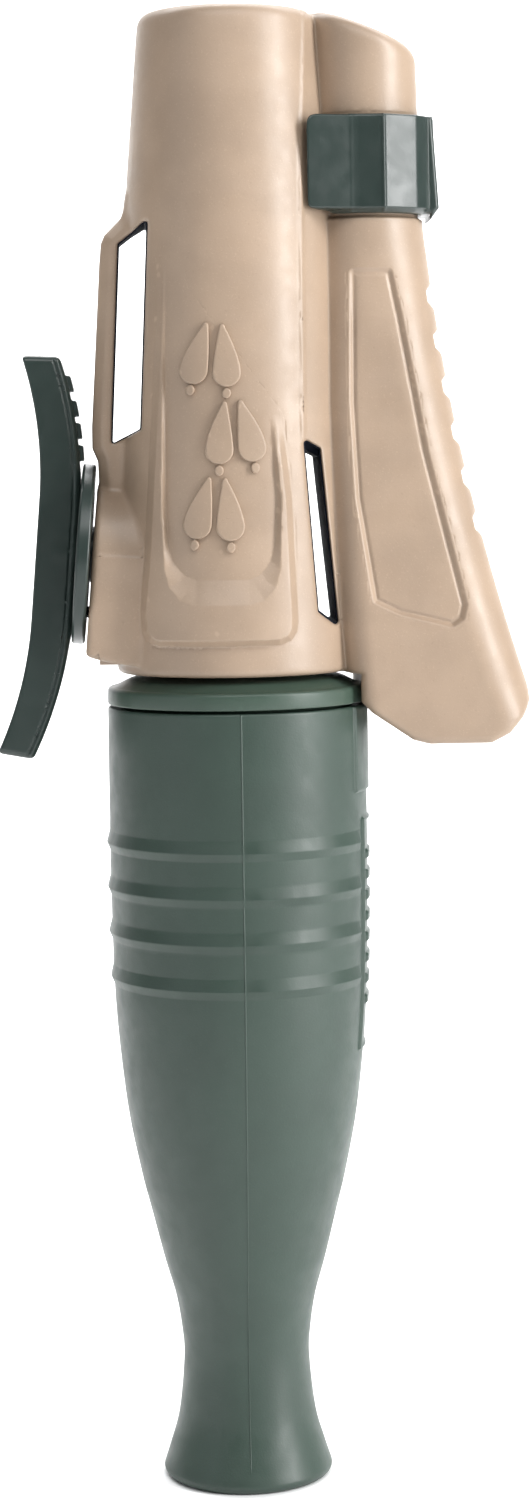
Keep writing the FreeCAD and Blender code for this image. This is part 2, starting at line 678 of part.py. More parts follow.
def handle_blank():
    """Bar with a flat middle and ends that bow outward, in the dial's own frame."""
    ends = (-HANDLE_DOWN, HANDLE_UP)
    edges = bow_edges(bow_inside, HANDLE_FLAT_IN, ends) + bow_edges(bow_outside, HANDLE_FLAT_OUT, ends)
    for end in ends:
        edges.append(line_edge((end, bow_inside(end)), (end, bow_outside(end))))
    face = Part.Face(Part.Wire(Part.__sortEdges__(edges)))
    face.translate(Vector(0, -HANDLE_HALF_WIDTH, 0))
    return face.extrude(Vector(0, 2 * HANDLE_HALF_WIDTH, 0))


def make_dial_handle():
    """Bow handle with its middle boss, grip blocks and countersunk screw seat."""
    bar = handle_blank()
    bar = bar.makeFillet(1.0, [edge for edge in bar.Edges if edge.BoundBox.YLength < 0.01])
    boss = Part.makeCylinder(6.0, 4.0, Vector(0, 0, DISC_T + 0.02), Vector(0, 0, 1))
    blocks = []
    for x in (15.4, 19.0, 22.6, 26.6):
        blocks.append(Part.makeBox(2.2, 8.0, 2.0, Vector(x, -4.0, bow_inside(x) - 0.6)))
    bar = bar.multiFuse([boss] + blocks).removeSplitter()
    bar = bar.cut(Part.makeCylinder(1.6, 30, Vector(0, 0, -10), Vector(0, 0, 1)))
    bar = bar.cut(Part.makeCylinder(3.1, 10, Vector(0, 0, 6.6), Vector(0, 0, 1)))
    return in_dial_frame(bar)


def make_dial_screw():
    """Screw from the handle into the shaft."""
    shank = Part.makeCylinder(1.25, 13.5, Vector(0, 0, -6.5), Vector(0, 0, 1))
    head = Part.makeCylinder(2.9, 1.7, Vector(0, 0, 6.62), Vector(0, 0, 1))
    head = head.makeFillet(0.5, [edge for edge in head.Edges if edge.BoundBox.ZMin > 8.3])
    slot = Part.makeBox(0.8, 8, 2, Vector(-0.4, -4, 7.6))
    return in_dial_frame(shank.fuse(head).removeSplitter().cut(slot))


def make_detent_ball():
    """Ball that clicks under the disc."""
    ball = Part.makeSphere(BALL_R, Vector(-DETENT_X, 0, -0.55))
    return in_dial_frame(ball)


def make_detent_spring():
    """Spring below the ball, drawn as the sleeve that its coil fills."""
    sleeve = Part.makeCylinder(0.95, 4.2, Vector(-DETENT_X, 0, -5.9), Vector(0, 0, 1))
    hole = Part.makeCylinder(0.6, 10, Vector(-DETENT_X, 0, -8), Vector(0, 0, 1))
    return in_dial_frame(sleeve.cut(hole))


# ---------------------------------------------------------------- wheeze ring
def sector(start, end, low, high, reach):
    """Upright wedge about the side tube's axis, between two bearings."""
    steps = 8
    angles = [math.radians(start + (end - start) * index / steps) for index in range(steps + 1)]
    corners = [Vector(SIDE_X, 0, low)]
    corners += [Vector(SIDE_X + reach * math.cos(a), reach * math.sin(a), low) for a in angles]
    face = Part.Face(Part.makePolygon(corners + corners[:1]))
    return face.extrude(Vector(0, 0, high - low))


def ring_wing():
    """Wing at the ring's front end, which rests over the barrel as the closed stop."""
    outline = [(20.6, -11.3), WING_TIP, (WING_TIP[0], -9.0), (16.5, -5.0), (20.6, -9.5)]
    corners = [Vector(x, y, RING_LOW_Z) for x, y in outline]
    face = Part.Face(Part.makePolygon(corners + corners[:1]))
    wing = face.extrude(Vector(0, 0, RING_TOP_Z - RING_LOW_Z))
    barrel = cylinder(BARREL_WAIST_R + WING_GAP, RING_LOW_Z - 1, RING_TOP_Z + 1)
    inside = cylinder(RING_INNER_R, RING_LOW_Z - 1, RING_TOP_Z + 1, SIDE_X)
    return wing.cut(barrel).cut(inside)


def thumb_pad():
    """Thumb pad on the ring, thicker towards its pointed lower end."""
    outline = [(30.0, RING_TOP_Z), (33.4, RING_TOP_Z), (34.3, 207.2), (32.8, 205.2), (32.8, RING_LOW_Z),
               (30.0, RING_LOW_Z)]
    return prism(outline, -5.6, 5.6).cut(cylinder(RING_INNER_R, RING_LOW_Z - 2, RING_TOP_Z + 1, SIDE_X))


def make_wheeze_ring():
    """Open ring on the side tube, with a wing, a thumb pad, flutes and a vent hole."""
    ring = tube(RING_OUTER_R, RING_INNER_R, RING_LOW_Z, RING_TOP_Z, SIDE_X)
    for bearing in (-61.5, -90.5, 46.5, 81.5):
        angle = math.radians(bearing)
        reach = RING_OUTER_R + 14.3
        flute = cylinder(14.6, 200, 230, SIDE_X + reach * math.cos(angle), reach * math.sin(angle))
        ring = ring.cut(flute)
    ring = ring.common(sector(-RING_FRONT_DEG, RING_BACK_DEG, RING_LOW_Z, RING_TOP_Z, 30))
    ring = fused([ring, ring_wing(), thumb_pad()])
    hole = wheeze_vent(20)
    hole.rotate(Vector(SIDE_X, 0, 0), Vector(0, 0, 1), -RING_TURN_DEG)
    return ring.cut(hole)


# ---------------------------------------------------------------- bell
def bell_outline():
    """Points of the bell's outer line, from the rim up to the straight top."""
    return [(MOUTH_R, 1.4), (12.75, 4.6), (11.2, 10.2), (10.3, 19.0), (11.5, 29.4), (13.2, 35.3),
            (15.2, 43.2), (16.9, 50.0), (19.0, 61.1), (20.6, 77.0), (21.1, 94.0), (BELL_R, 110.0)]


def make_bell():
    """Rubber bell with ridges and a flared mouth that it can stand on."""
    outer = bell_outline()
    inner = [(r - BELL_WALL, z) for r, z in outer[2:]]
    rim_in = (MOUTH_LAND_R, MOUTH_LAND)
    top_in = BELL_R - BELL_WALL
    edges = [
        line_edge((MOUTH_LAND_R, 0), (MOUTH_R - 1.4, 0)),
        arc_edge((MOUTH_R - 1.4, 0), (MOUTH_R - 0.41, 0.41), (MOUTH_R, 1.4)),
        spline_edge(outer),
        line_edge((BELL_R, 110.0), (BELL_R, BELL_TOP_Z)),
        line_edge((BELL_R, BELL_TOP_Z), (top_in, BELL_TOP_Z)),
        line_edge((top_in, BELL_TOP_Z), (top_in, 110.0)),
        spline_edge(inner[::-1]),
        line_edge(inner[0], rim_in),
        line_edge(rim_in, (MOUTH_LAND_R, 0)),
    ]
    bell = Part.Face(Part.Wire(edges)).revolve(Vector(0, 0, 0), Vector(0, 0, 1), 360)
    ridges = []
    for index in range(BELL_RIDGES):
        z = BELL_RIDGE_Z - index * BELL_RIDGE_PITCH
        crown = BELL_R - 0.02 * (BELL_RIDGE_Z - z) + BELL_RIDGE_PROUD
        ridges.append(turned([(19.6, z - 1.8), (crown - 0.5, z - 1.6), (crown, z - 0.8), (crown, z + 0.5),
                              (crown - 0.5, z + 1.8), (19.6, z + 2.0)]))
    return bell.multiFuse(ridges).removeSplitter()


def make_bell_collar():
    """Collar between barrel and bell: a spigot up, a flange, a sleeve down."""
    outline = [(SPIGOT_BORE_R, SPIGOT_TOP_Z), (SPIGOT_R, SPIGOT_TOP_Z), (SPIGOT_R, 131.5), (16.0, 131.1),
               (17.5, 130.8), (18.6, 130.3), (19.6, 129.8), (20.7, 129.4), (COLLAR_R, 128.9),
               (COLLAR_R, COLLAR_LOW_Z),
               (18.95, COLLAR_LOW_Z), (18.95, 112.5), (16.8, 112.5), (16.8, 121.5), (SPIGOT_BORE_R, 127.0)]
    collar = turned(outline)
    return collar.cut(tube(SPIGOT_R + 1, 10.9, 134.0, 135.6))


def make_collar_seal():
    """Seal ring on the collar's spigot, which holds the bell by friction."""
    return Part.makeTorus(11.66, 0.74, Vector(0, 0, 134.8))


# ---------------------------------------------------------------- all sub-parts
def main():
    """Build every sub-part and write its file."""
    os.makedirs(PARTS_FOLDER, exist_ok=True)
    front_shell, back_shell = make_shells()
    export(front_shell, "front_shell")
    export(back_shell, "back_shell")
    export(make_shell_screws(), "shell_screws")
    export(make_mouth_liner(), "mouth_liner")
    export(make_liner_seal(), "liner_seal")
    export(make_wheeze_liner(), "wheeze_liner")
    export(make_wheeze_plate(), "wheeze_plate")
    export(make_wheeze_ring(), "wheeze_ring")
    export(make_chamber_grille(), "chamber_grille")
    export(make_reed_insert(), "reed_insert")
    export(make_insert_seal(), "insert_seal")
    export(make_tone_board(), "tone_board")
    export(make_reed(), "reed")
    export(make_reed_wedge(), "reed_wedge")
    export(make_board_guide(), "board_guide")
    export(make_dial_bushing(), "dial_bushing")
    export(make_dial_seal(), "dial_seal")
    export(make_dial_shaft(), "dial_shaft")
    export(make_shaft_clip(), "shaft_clip")
    export(make_dial_pinion(), "dial_pinion")
    export(make_tone_slider(), "tone_slider")
    export(make_slider_roller(), "slider_roller")
    export(make_dial_disc(), "dial_disc")
    export(make_dial_handle(), "dial_handle")
    export(make_dial_screw(), "dial_screw")
    export(make_detent_ball(), "detent_ball")
    export(make_detent_spring(), "detent_spring")
    export(make_bell(), "bell")
    export(make_bell_collar(), "bell_collar")
    export(make_collar_seal(), "collar_seal")


main()
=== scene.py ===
"""Looks of the grunt tube call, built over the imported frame.

The tan shells, the ring, the handle and their details are moulded from distance fields in
millimetres and turned into closed meshes in metres. The bell and the collar are turned profiles.
Thin inlays in shallow pockets of the shells carry the relief that needs a finer mesh.
"""
import json
import math

import bpy
import numpy as np
from mathutils import Matrix, Vector


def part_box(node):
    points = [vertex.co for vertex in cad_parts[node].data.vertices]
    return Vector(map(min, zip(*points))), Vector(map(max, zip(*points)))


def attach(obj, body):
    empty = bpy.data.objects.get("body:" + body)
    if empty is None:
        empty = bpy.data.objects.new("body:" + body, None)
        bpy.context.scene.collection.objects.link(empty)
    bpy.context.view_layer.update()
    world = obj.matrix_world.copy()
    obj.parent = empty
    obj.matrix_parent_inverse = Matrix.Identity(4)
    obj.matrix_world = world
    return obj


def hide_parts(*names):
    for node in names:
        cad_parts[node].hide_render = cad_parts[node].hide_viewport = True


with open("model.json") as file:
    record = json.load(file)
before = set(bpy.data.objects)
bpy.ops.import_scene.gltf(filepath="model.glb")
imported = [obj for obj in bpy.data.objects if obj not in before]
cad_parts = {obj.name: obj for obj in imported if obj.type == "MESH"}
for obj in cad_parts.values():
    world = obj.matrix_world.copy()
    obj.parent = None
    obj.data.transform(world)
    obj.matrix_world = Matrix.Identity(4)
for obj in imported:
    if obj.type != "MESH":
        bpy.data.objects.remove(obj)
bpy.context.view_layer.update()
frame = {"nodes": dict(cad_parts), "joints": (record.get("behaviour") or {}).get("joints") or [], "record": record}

MM = 0.001
JOINTS = {joint["name"]: joint for joint in frame["joints"]}


def in_mm(place):
    """A place of the frame, in millimetres."""
    return np.array([float(value) for value in place]) / MM


def node_box(node):
    """Lowest and highest corner of a CAD node in millimetres."""
    low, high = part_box(node)
    return in_mm(low), in_mm(high)


# ------------ driving sizes, millimetres
BARREL_TOP = node_box("front_shell")[1][2]
BELL_TOP = node_box("bell")[1][2]
RING_TOP = node_box("wheeze_ring")[1][2]

BARREL_BOTTOM = 131.8
BARREL_LEVELS = (BARREL_BOTTOM, 209.0, 236.0, 241.0)
BARREL_RADII = (19.5, 17.1, 14.95, 14.5)
BORE_R = 9.5
MOUTH_BORE_R = 11.0
MOUTH_BORE_Z = 204.5
SOCKET_R = 12.45
SOCKET_TOP = 138.3
LIP_R = 2.6

SIDE_X = float(in_mm(JOINTS["wheeze_turn"]["pos_m"])[0])
SIDE_BORE_R = 6.0
RING_OUTER = 11.7
RING_INNER = 8.93
RING_SEAT_R = 8.85
RING_FRONT = math.radians(-128.5)
RING_BOTTOM = 206.2
RING_BACK = math.radians(93.0)
RING_TURN = math.radians(JOINTS["wheeze_turn"]["range_deg"][1])

DIAL_CENTRE = in_mm(JOINTS["dial_turn"]["pos_m"])
DIAL_OUT = np.array(JOINTS["dial_turn"]["axis"], float)
DIAL_BACK = np.array([0.0, 1.0, 0.0])
DIAL_UP = np.cross(DIAL_BACK, DIAL_OUT)
BOSS_R = 11.5
BOSS_DROP = 17.2
PAD_GAP = 0.4
BOSS_DEPTH = 14.0
DISC_T = 2.2
HANDLE_ENDS = (-33.2, 31.9)
HANDLE_FLAT_IN = (-9.0, 7.0)
HANDLE_IN_R = 66.0
HANDLE_FLAT_OUT = (-11.0, 8.5)
HANDLE_OUT_R = 63.0
HANDLE_OUT = 8.9
HANDLE_HALF_WIDTH = 5.5
HANDLE_BLOCKS = (16.5, 20.1, 23.7, 27.7)

RELIEF_R = 21.9
RELIEF_TOP = 131.3
NOTCH_FIRST = 192.8
NOTCH_PITCH = 7.44
NOTCH_COUNT = 6
NOTCH_DEPTH = 1.3

# X, Z and the Y of the seat of every shell screw
SCREW_SEATS = [
    (-13.3, 225.0, 5.5),
    (13.6, 229.0, 5.0),
    (-17.2, 165.5, 2.2),
    (-16.8, 143.0, 7.5),
    (44.3, 128.6, 7.0),
    (14.3, 176.5, 7.0),
]
SCREW_HEAD_R = 2.35
SCREW_SHANK_R = 1.15
SCREW_REACH = 3.5

BELL_R = 21.0
BELL_PAD_FOOT = 112.3
BELL_FRAME = (70.4, 107.6)

# ------------ picture, metres and degrees
CAMERA_X = -0.016
CAMERA_FAR = 0.52
CAMERA_Z = 0.168
VIEW_HEIGHT = 0.2475
VIEW_MIDDLE = 0.1185
VIEW_CENTRE_X = 0.0055
VIEW_ROLL = -0.90

SWEEP_START = 0.7
SWEEP_R = 0.5


# ------------ distance fields
def soft_min(a, b, soft):
    """Union of two fields with a fillet."""
    share = np.clip(0.5 + 0.5 * (b - a) / soft, 0.0, 1.0)
    return b + (a - b) * share - soft * share * (1.0 - share)


def soft_max(a, b, soft):
    """Overlap of two fields with a rounded edge."""
    return -soft_min(-a, -b, soft)


def cut_away(solid, tool, soft):
    """Solid without the tool's inside, with a rounded edge."""
    return soft_max(solid, -tool, soft)


def smooth_step(value, low, high):
    """Zero below low, one above high, smooth between."""
    share = np.clip((value - low) / (high - low), 0.0, 1.0)
    return share * share * (3.0 - 2.0 * share)


def outline_distance(px, pz, corners):
    """Signed distance to a closed outline in a plane, negative inside."""
    nearest = np.full(np.shape(px), 1e9)
    inside = np.zeros(np.shape(px), bool)
    for (ax, az), (bx, bz) in zip(corners, corners[1:] + corners[:1]):
        ex, ez = bx - ax, bz - az
        wx, wz = px - ax, pz - az
        along = np.clip((wx * ex + wz * ez) / (ex * ex + ez * ez), 0.0, 1.0)
        nearest = np.minimum(nearest, (wx - along * ex) ** 2 + (wz - along * ez) ** 2)
        if ez:
            inside ^= ((az > pz) != (bz > pz)) & (px < ax + ex * wz / ez)
    return np.sqrt(nearest) * np.where(inside, -1.0, 1.0)


def shrunk(corners, amount):
    """Outline with every side moved inward."""
    spots = np.array(corners, float)
    ahead = np.roll(spots, -1, 0) - spots
    turn = np.sign(np.sum(spots[:, 0] * np.roll(spots[:, 1], -1) - np.roll(spots[:, 0], -1) * spots[:, 1]))
    inward = np.stack([-ahead[:, 1], ahead[:, 0]], 1) * turn / np.linalg.norm(ahead, axis=1, keepdims=True)
    result = []
    for before, now, spot in zip(np.roll(inward, 1, 0), inward, spots):
        both = before + now
        result.append(tuple(spot + both * 2.0 * amount / max(both @ both, 0.5)))
    return result


def rounded_distance(px, pz, corners, radius):
    """Signed distance to an outline whose outer corners are rounded."""
    return outline_distance(px, pz, shrunk(corners, radius)) - radius


def round_bar(x, z, centre_x, centre_z, radius):
    """Field of an endless round bar along Y."""
    return np.hypot(x - centre_x, z - centre_z) - radius


def in_dial(x, y, z):
    """Coordinates in the dial's frame: up along the handle, to the back, outward."""
    dx, dy, dz = x - DIAL_CENTRE[0], y - DIAL_CENTRE[1], z - DIAL_CENTRE[2]
    return (
        dx * DIAL_UP[0] + dy * DIAL_UP[1] + dz * DIAL_UP[2],
        dy,
        dx * DIAL_OUT[0] + dy * DIAL_OUT[1] + dz * DIAL_OUT[2],
    )


# ------------ meshes from fields
# Steps along a block's side, sides within which the surface is near, blocks worked out at a time
BLOCK = 8
BLOCK_REACH = 1.15
BATCH = 1500
# Miss and length above which an edge is split, and share of a step that normals are taken over
TOLERANCE = 0.02
SHORTEST_SPLIT = 0.13
NORMAL_REACH = 0.2


def unit(vectors):
    """Rows scaled to length one."""
    return vectors / np.maximum(np.linalg.norm(vectors, axis=1, keepdims=True), 1e-9)


def slope(field, places, reach):
    """Gradient of a field by small steps to both sides."""
    result = np.empty_like(places)
    for axis in range(3):
        shift = np.zeros(3)
        shift[axis] = reach
        ahead = field(*(places + shift).T)
        behind = field(*(places - shift).T)
        result[:, axis] = (ahead - behind) / (2.0 * reach)
    return result


def settle(field, places, step):
    """Move vertices onto the surface itself."""
    for _ in range(3):
        gradient = slope(field, places, 0.03)
        steep = np.maximum((gradient ** 2).sum(1), 0.2)
        move = gradient * (field(*places.T) / steep)[:, None]
        length = np.linalg.norm(move, axis=1, keepdims=True)
        places = places - move * np.minimum(1.0, 0.6 * step / np.maximum(length, 1e-9))
    return places


def sample_field(field, low, step, blocks):
    """Field on a grid. Only blocks that the surface can pass are worked out in full."""
    block = step * BLOCK
    centres = [low[axis] + block * (np.arange(blocks[axis]) + 0.5) for axis in range(3)]
    coarse = field(*np.meshgrid(*centres, indexing="ij"))
    values = np.sign(coarse).astype(np.float32)
    for axis in range(3):
        values = np.repeat(values, BLOCK, axis)
    near = np.argwhere(np.abs(coarse) < block * BLOCK_REACH)
    offsets = np.stack(np.meshgrid(*[np.arange(BLOCK)] * 3, indexing="ij"), -1).reshape(-1, 3)
    for start in range(0, len(near), BATCH):
        spots = (near[start:start + BATCH, None, :] * BLOCK + offsets[None]).reshape(-1, 3)
        places = low + step * spots
        result = field(places[:, 0], places[:, 1], places[:, 2])
        values[spots[:, 0], spots[:, 1], spots[:, 2]] = result
    return values


def net_vertices(values, cells):
    """Mean of the edge crossings in every cell that the surface passes, in grid units."""
    total = np.zeros((len(cells), 3))
    hits = np.zeros(len(cells))
    corners = [np.array(corner) for corner in np.ndindex(2, 2, 2)]
    at_corner = [values[tuple((cells + corner).T)].astype(float) for corner in corners]
    for first in range(8):
        for second in range(first + 1, 8):
            if np.abs(corners[first] - corners[second]).sum() != 1:
                continue
            a, b = at_corner[first], at_corner[second]
            cross = (a < 0) != (b < 0)
            share = (a[cross] / (a[cross] - b[cross]))[:, None]
            total[cross] += corners[first] + share * (corners[second] - corners[first])
            hits[cross] += 1
    return cells + total / hits[:, None]


def net_faces(inside, index):
    """One quad for every grid edge that the surface crosses."""
    quads = []
    for axis in range(3):
        one, two = [other for other in range(3) if other != axis]
        step = np.eye(3, dtype=int)
        ahead = np.roll(inside, -1, axis)
        spots = np.argwhere(inside[:-1, :-1, :-1] != ahead[:-1, :-1, :-1])
        spots = spots[(spots[:, one] > 0) & (spots[:, two] > 0)]
        ring = [spots, spots - step[one], spots - step[one] - step[two], spots - step[two]]
        quad = np.stack([index[tuple(spot.T)] for spot in ring], 1)
        backward = inside[tuple(spots.T)] == (axis == 1)
        quad[backward] = quad[backward][:, ::-1]
        quads.append(quad)
    return np.concatenate(quads)


def triangles(field, places, quads):
    """Two triangles for each quad, along the diagonal that lies closer to the surface."""
    one = np.abs(field(*((places[quads[:, 0]] + places[quads[:, 2]]) / 2.0).T))
    two = np.abs(field(*((places[quads[:, 1]] + places[quads[:, 3]]) / 2.0).T))
    quads = np.where((one <= two)[:, None], quads, np.roll(quads, -1, 1))
    return np.concatenate([quads[:, (0, 1, 2)], quads[:, (0, 2, 3)]])


def crease_middles(first, second, first_normal, second_normal):
    """Middles of edges, moved to where the two end planes meet if the ends face different ways."""
    half = (second - first) / 2.0
    cosine = (first_normal * second_normal).sum(1)
    rise = -(first_normal * half).sum(1)
    fall = (second_normal * half).sum(1)
    square = np.maximum(1.0 - cosine * cosine, 0.03)
    one = ((rise - cosine * fall) / square)[:, None]
    two = ((fall - cosine * rise) / square)[:, None]
    move = one * first_normal + two * second_normal
    reach = np.linalg.norm(half, axis=1) * 0.9
    length = np.linalg.norm(move, axis=1)
    move *= np.minimum(1.0, reach / np.maximum(length, 1e-9))[:, None]
    return first + half + np.where((cosine < 0.97)[:, None], move, 0.0)


def split_faces(faces, marks):
    """Split triangles at the marked middles of their edges, so that neighbours still match."""
    done = [faces[(marks < 0).all(1)]]
    full = (marks >= 0).all(1)
    a, b, c = faces[full].T
    ab, bc, ca = marks[full].T
    done += [np.stack(corners, 1) for corners in ((a, ab, ca), (ab, b, bc), (ca, bc, c), (ab, bc, ca))]
    for turn in range(3):
        corner = np.roll(faces, -turn, 1)
        mark = np.roll(marks, -turn, 1)
        one = (mark[:, 0] >= 0) & (mark[:, 1] < 0) & (mark[:, 2] < 0)
        a, b, c = corner[one].T
        ab = mark[one, 0]
        done += [np.stack(corners, 1) for corners in ((a, ab, c), (ab, b, c))]
        two = (mark[:, 0] >= 0) & (mark[:, 1] >= 0) & (mark[:, 2] < 0)
        a, b, c = corner[two].T
        ab, bc = mark[two, 0], mark[two, 1]
        done += [np.stack(corners, 1) for corners in ((ab, b, bc), (a, ab, bc), (a, bc, c))]
    return np.concatenate(done)


def refine(field, places, faces, step):
    """Add vertices where an edge leaves the surface between its ends, as along creases."""
    pairs = np.stack([faces, np.roll(faces, -1, 1)], -1).reshape(-1, 2)
    edges, edge_of = np.unique(pairs.min(1) * len(places) + pairs.max(1), return_inverse=True)
    first, second = edges // len(places), edges % len(places)
    span = places[second] - places[first]
    off = np.zeros(len(edges), bool)
    for share in (0.25, 0.5, 0.75):
        off |= np.abs(field(*(places[first] + share * span).T)) > TOLERANCE
    off &= (span ** 2).sum(1) > SHORTEST_SPLIT ** 2
    added = np.full(len(edges), -1)
    added[off] = len(places) + np.arange(off.sum())
    first, second = first[off], second[off]
    ends = np.unique(np.concatenate([first, second]))
    normals = np.zeros(places.shape)
    normals[ends] = unit(slope(field, places[ends], 0.02))
    fresh = crease_middles(places[first], places[second], normals[first], normals[second])
    fresh = settle(field, fresh, step * 0.5)
    return np.vstack([places, fresh]), split_faces(faces, added[edge_of].reshape(-1, 3))


def new_mesh(name, places, faces, normals=None):
    """Object from vertex places in millimetres and faces that all have the same corner count."""
    mesh = bpy.data.meshes.new(name)
    mesh.vertices.add(len(places))
    mesh.vertices.foreach_set("co", (places * MM).astype(np.float32).ravel())
    mesh.loops.add(faces.size)
    mesh.loops.foreach_set("vertex_index", faces.astype(np.int32).ravel())
    mesh.polygons.add(len(faces))
    mesh.polygons.foreach_set("loop_start", np.arange(0, faces.size, faces.shape[1], dtype=np.int32))
    mesh.update(calc_edges=True)
    mesh.validate()
    mesh.shade_smooth()
    if normals is not None:
        mesh.normals_split_custom_set_from_vertices(normals.tolist())
    piece = bpy.data.objects.new(name, mesh)
    bpy.context.scene.collection.objects.link(piece)
    return piece


def mould(name, field, low, high, step, rounds=2):
    """Closed mesh of a field inside a box, finer along creases, with the field's own normals."""
    low = np.array(low, float) - 2.0 * step
    high = np.array(high, float) + 2.0 * step
    blocks = np.ceil((high - low) / (step * BLOCK)).astype(int)
    values = sample_field(field, low, step, blocks)
    inside = values < 0
    wide, deep, tall = np.array(inside.shape) - 1
    corner_sum = sum(
        inside[i:wide + i, j:deep + j, k:tall + k].astype(np.int8)
        for i, j, k in np.ndindex(2, 2, 2)
    )
    active = (corner_sum > 0) & (corner_sum < 8)
    cells = np.argwhere(active)
    index = np.full(active.shape, -1)
    index[active] = np.arange(len(cells))
    places = settle(field, low + step * net_vertices(values, cells), step)
    faces = triangles(field, places, net_faces(inside, index))
    for _ in range(rounds):
        places, faces = refine(field, places, faces, step)
    print(name, "triangles", len(faces))
    return new_mesh(name, places, faces, unit(slope(field, places, NORMAL_REACH * step)))


# ------------ tan body
PLINTH_OUTSIDE = [
    (-11.7, 199.5), (-14.8, 152.2), (-15.8, 142.5), (-15.5, 139.0), (-14.6, 137.5), (-13.0, 136.8),
    (6.6, 136.9), (8.4, 137.6), (9.3, 139.0), (9.5, 140.9), (8.8, 160.3), (7.4, 173.5),
]
RECESS_TOP = [
    (6.0, 173.5), (7.1, 160.3), (6.8, 149.2), (6.0, 146.3), (4.2, 144.1), (1.9, 143.4),
    (-6.9, 143.4), (-9.2, 144.1), (-11.0, 146.3), (-11.7, 149.2), (-12.0, 160.2), (-11.2, 199.5),
    (-3.0, 215.0),
]
RECESS_FLOOR = [
    (5.4, 173.5), (6.4, 160.3), (6.1, 153.4), (5.2, 150.3), (3.7, 148.3), (1.6, 147.4),
    (-6.5, 147.4), (-8.7, 148.3), (-10.3, 150.4), (-11.0, 153.4), (-11.3, 160.2), (-10.7, 199.5),
    (-3.0, 214.0),
]
PANEL = [
    (19.0, 197.3), (26.0, 197.3), (27.6, 189.7), (31.4, 167.6), (37.4, 142.5), (36.8, 140.0),
    (34.9, 138.7), (26.2, 140.9), (21.9, 143.0), (19.3, 159.9), (18.6, 175.5),
]
LEFT_SLOT = [(-13.4, 205.9), (-18.4, 202.1), (-20.0, 169.1), (-15.0, 171.6)]
RIGHT_SLOT = [(10.9, 169.8), (13.8, 168.2), (16.5, 139.0), (12.9, 141.8)]
RAIL = [
    (-16.6, 210.0), (-17.3, 207.4), (-17.9, 206.3), (-20.6, 203.6), (-21.2, 202.2), (-21.5, 199.0),
    (-23.1, 172.2), (-23.1, 168.7), (-22.2, 166.5), (-21.9, 158.0), (-12.0, 158.0), (-12.0, 210.0),
]
FOOT = [
    (5.0, 215.0), (5.0, 131.4), (19.9, 131.4), (19.9, 127.0), (21.6, 125.2), (28.2, 120.7),
    (30.9, 120.0), (40.9, 120.0), (44.0, 121.5), (46.4, 124.0), (47.9, 126.4), (48.4, 129.0),
    (60.0, 129.0), (60.0, 215.0),
]
SLOT_CORNER_R = 0.5

# An inlay stands INLAY_RISE above the body. From INLAY_RIM outside its outline it dips below the body
# at INLAY_DIP, and it ends at INLAY_END. It is INLAY_T thick, with FACE_Y between it and the seam.
INLAY_RISE = 0.008
INLAY_RIM = 0.3
INLAY_DIP = 0.12
INLAY_END = 0.85
INLAY_T = 1.5
FACE_Y = 5.0
PLINTH_POCKET = 0.9
PANEL_POCKET = 1.3

# Depth below the surface of the dark slot sleeves, which paint the slot walls' shade.
SLOT_SHADE_SUNK = 0.7
SEAM = 0.03


def plinth_edge(x, z):
    """Signed distance to the raised frame's outline."""
    return rounded_distance(x, z, PLINTH_OUTSIDE, 0.3)


def panel_edge(x, z):
    """Signed distance to the panel's outline."""
    return rounded_distance(x, z, PANEL, 0.9)


def plinth_height(x, z):
    """How far the raised frame on the front stands proud of the barrel."""
    outside = plinth_edge(x, z)
    wall_top = outline_distance(x, z, RECESS_TOP)
    wall_foot = outline_distance(x, z, RECESS_FLOOR)
    sunk = np.clip(-wall_top / np.maximum(wall_foot - wall_top, 0.05), 0.0, 1.0)
    left = np.interp(z, (136.0, 150.0, 172.0, 199.5), (1.5, 1.25, 0.85, 0.0))
    right = np.interp(z, (136.0, 150.0, 166.0, 173.5), (1.5, 1.15, 0.8, 0.0))
    height = left + (right - left) * smooth_step(x, -8.0, 4.0)
    return height * np.clip(-outside, 0.0, 1.0) * (1.0 - sunk)


def valley_bead(x, z):
    """Slim bead on the barrel beside the side tube."""
    line = np.interp(z, (170.0, 215.0, 225.0, 240.0), (10.9, 11.35, 12.0, 12.6))
    ends = smooth_step(z, 168.0, 172.0)
    return 0.22 * np.exp(-((x - line) / 0.42) ** 2) * ends


def barrel_field(x, y, z, inlaid=False):
    """Tapered barrel with its lip and bead, and its frame or the pocket the frame sits in."""
    wall = np.hypot(x, y) - np.interp(z, BARREL_LEVELS, BARREL_RADII)
    front = y < -FACE_Y
    wall[front] -= valley_bead(x[front], z[front])
    low = front & (z < 203.0)
    if inlaid:
        wall[low] -= plinth_height(x[low], z[low])
    else:
        inside = plinth_edge(x[low], z[low])
        wall[low] += np.clip(0.1 - inside, 0.0, PLINTH_POCKET)
    lip = soft_max(wall, z - BARREL_TOP, LIP_R)
    return soft_max(lip, BARREL_BOTTOM - z, 1.2)


def side_tube_field(x, y, z):
    """Side tube with its seat for the ring and its sloping, rounded mouth."""
    levels = (190.0, 205.4, 205.8, 222.6, 222.9, 240.0)
    radii = (9.7, 9.5, RING_SEAT_R, RING_SEAT_R, 9.05, 8.75)
    wall = np.hypot(x - SIDE_X, y) - np.interp(z, levels, radii)
    mouth = (x - 14.5) * 0.371 + (z - 240.3) * 0.928
    return soft_max(soft_max(wall, mouth, LIP_R), 189.0 - z, 1.0)


def grip_edge(z):
    """X of the finger edge of the chamber."""
    drop = np.clip(200.0 - z, 0.0, 76.0)
    return 32.45 + 0.1046 * drop + 0.00153 * drop * drop - 0.155 * np.maximum(z - 200.0, 0.0)


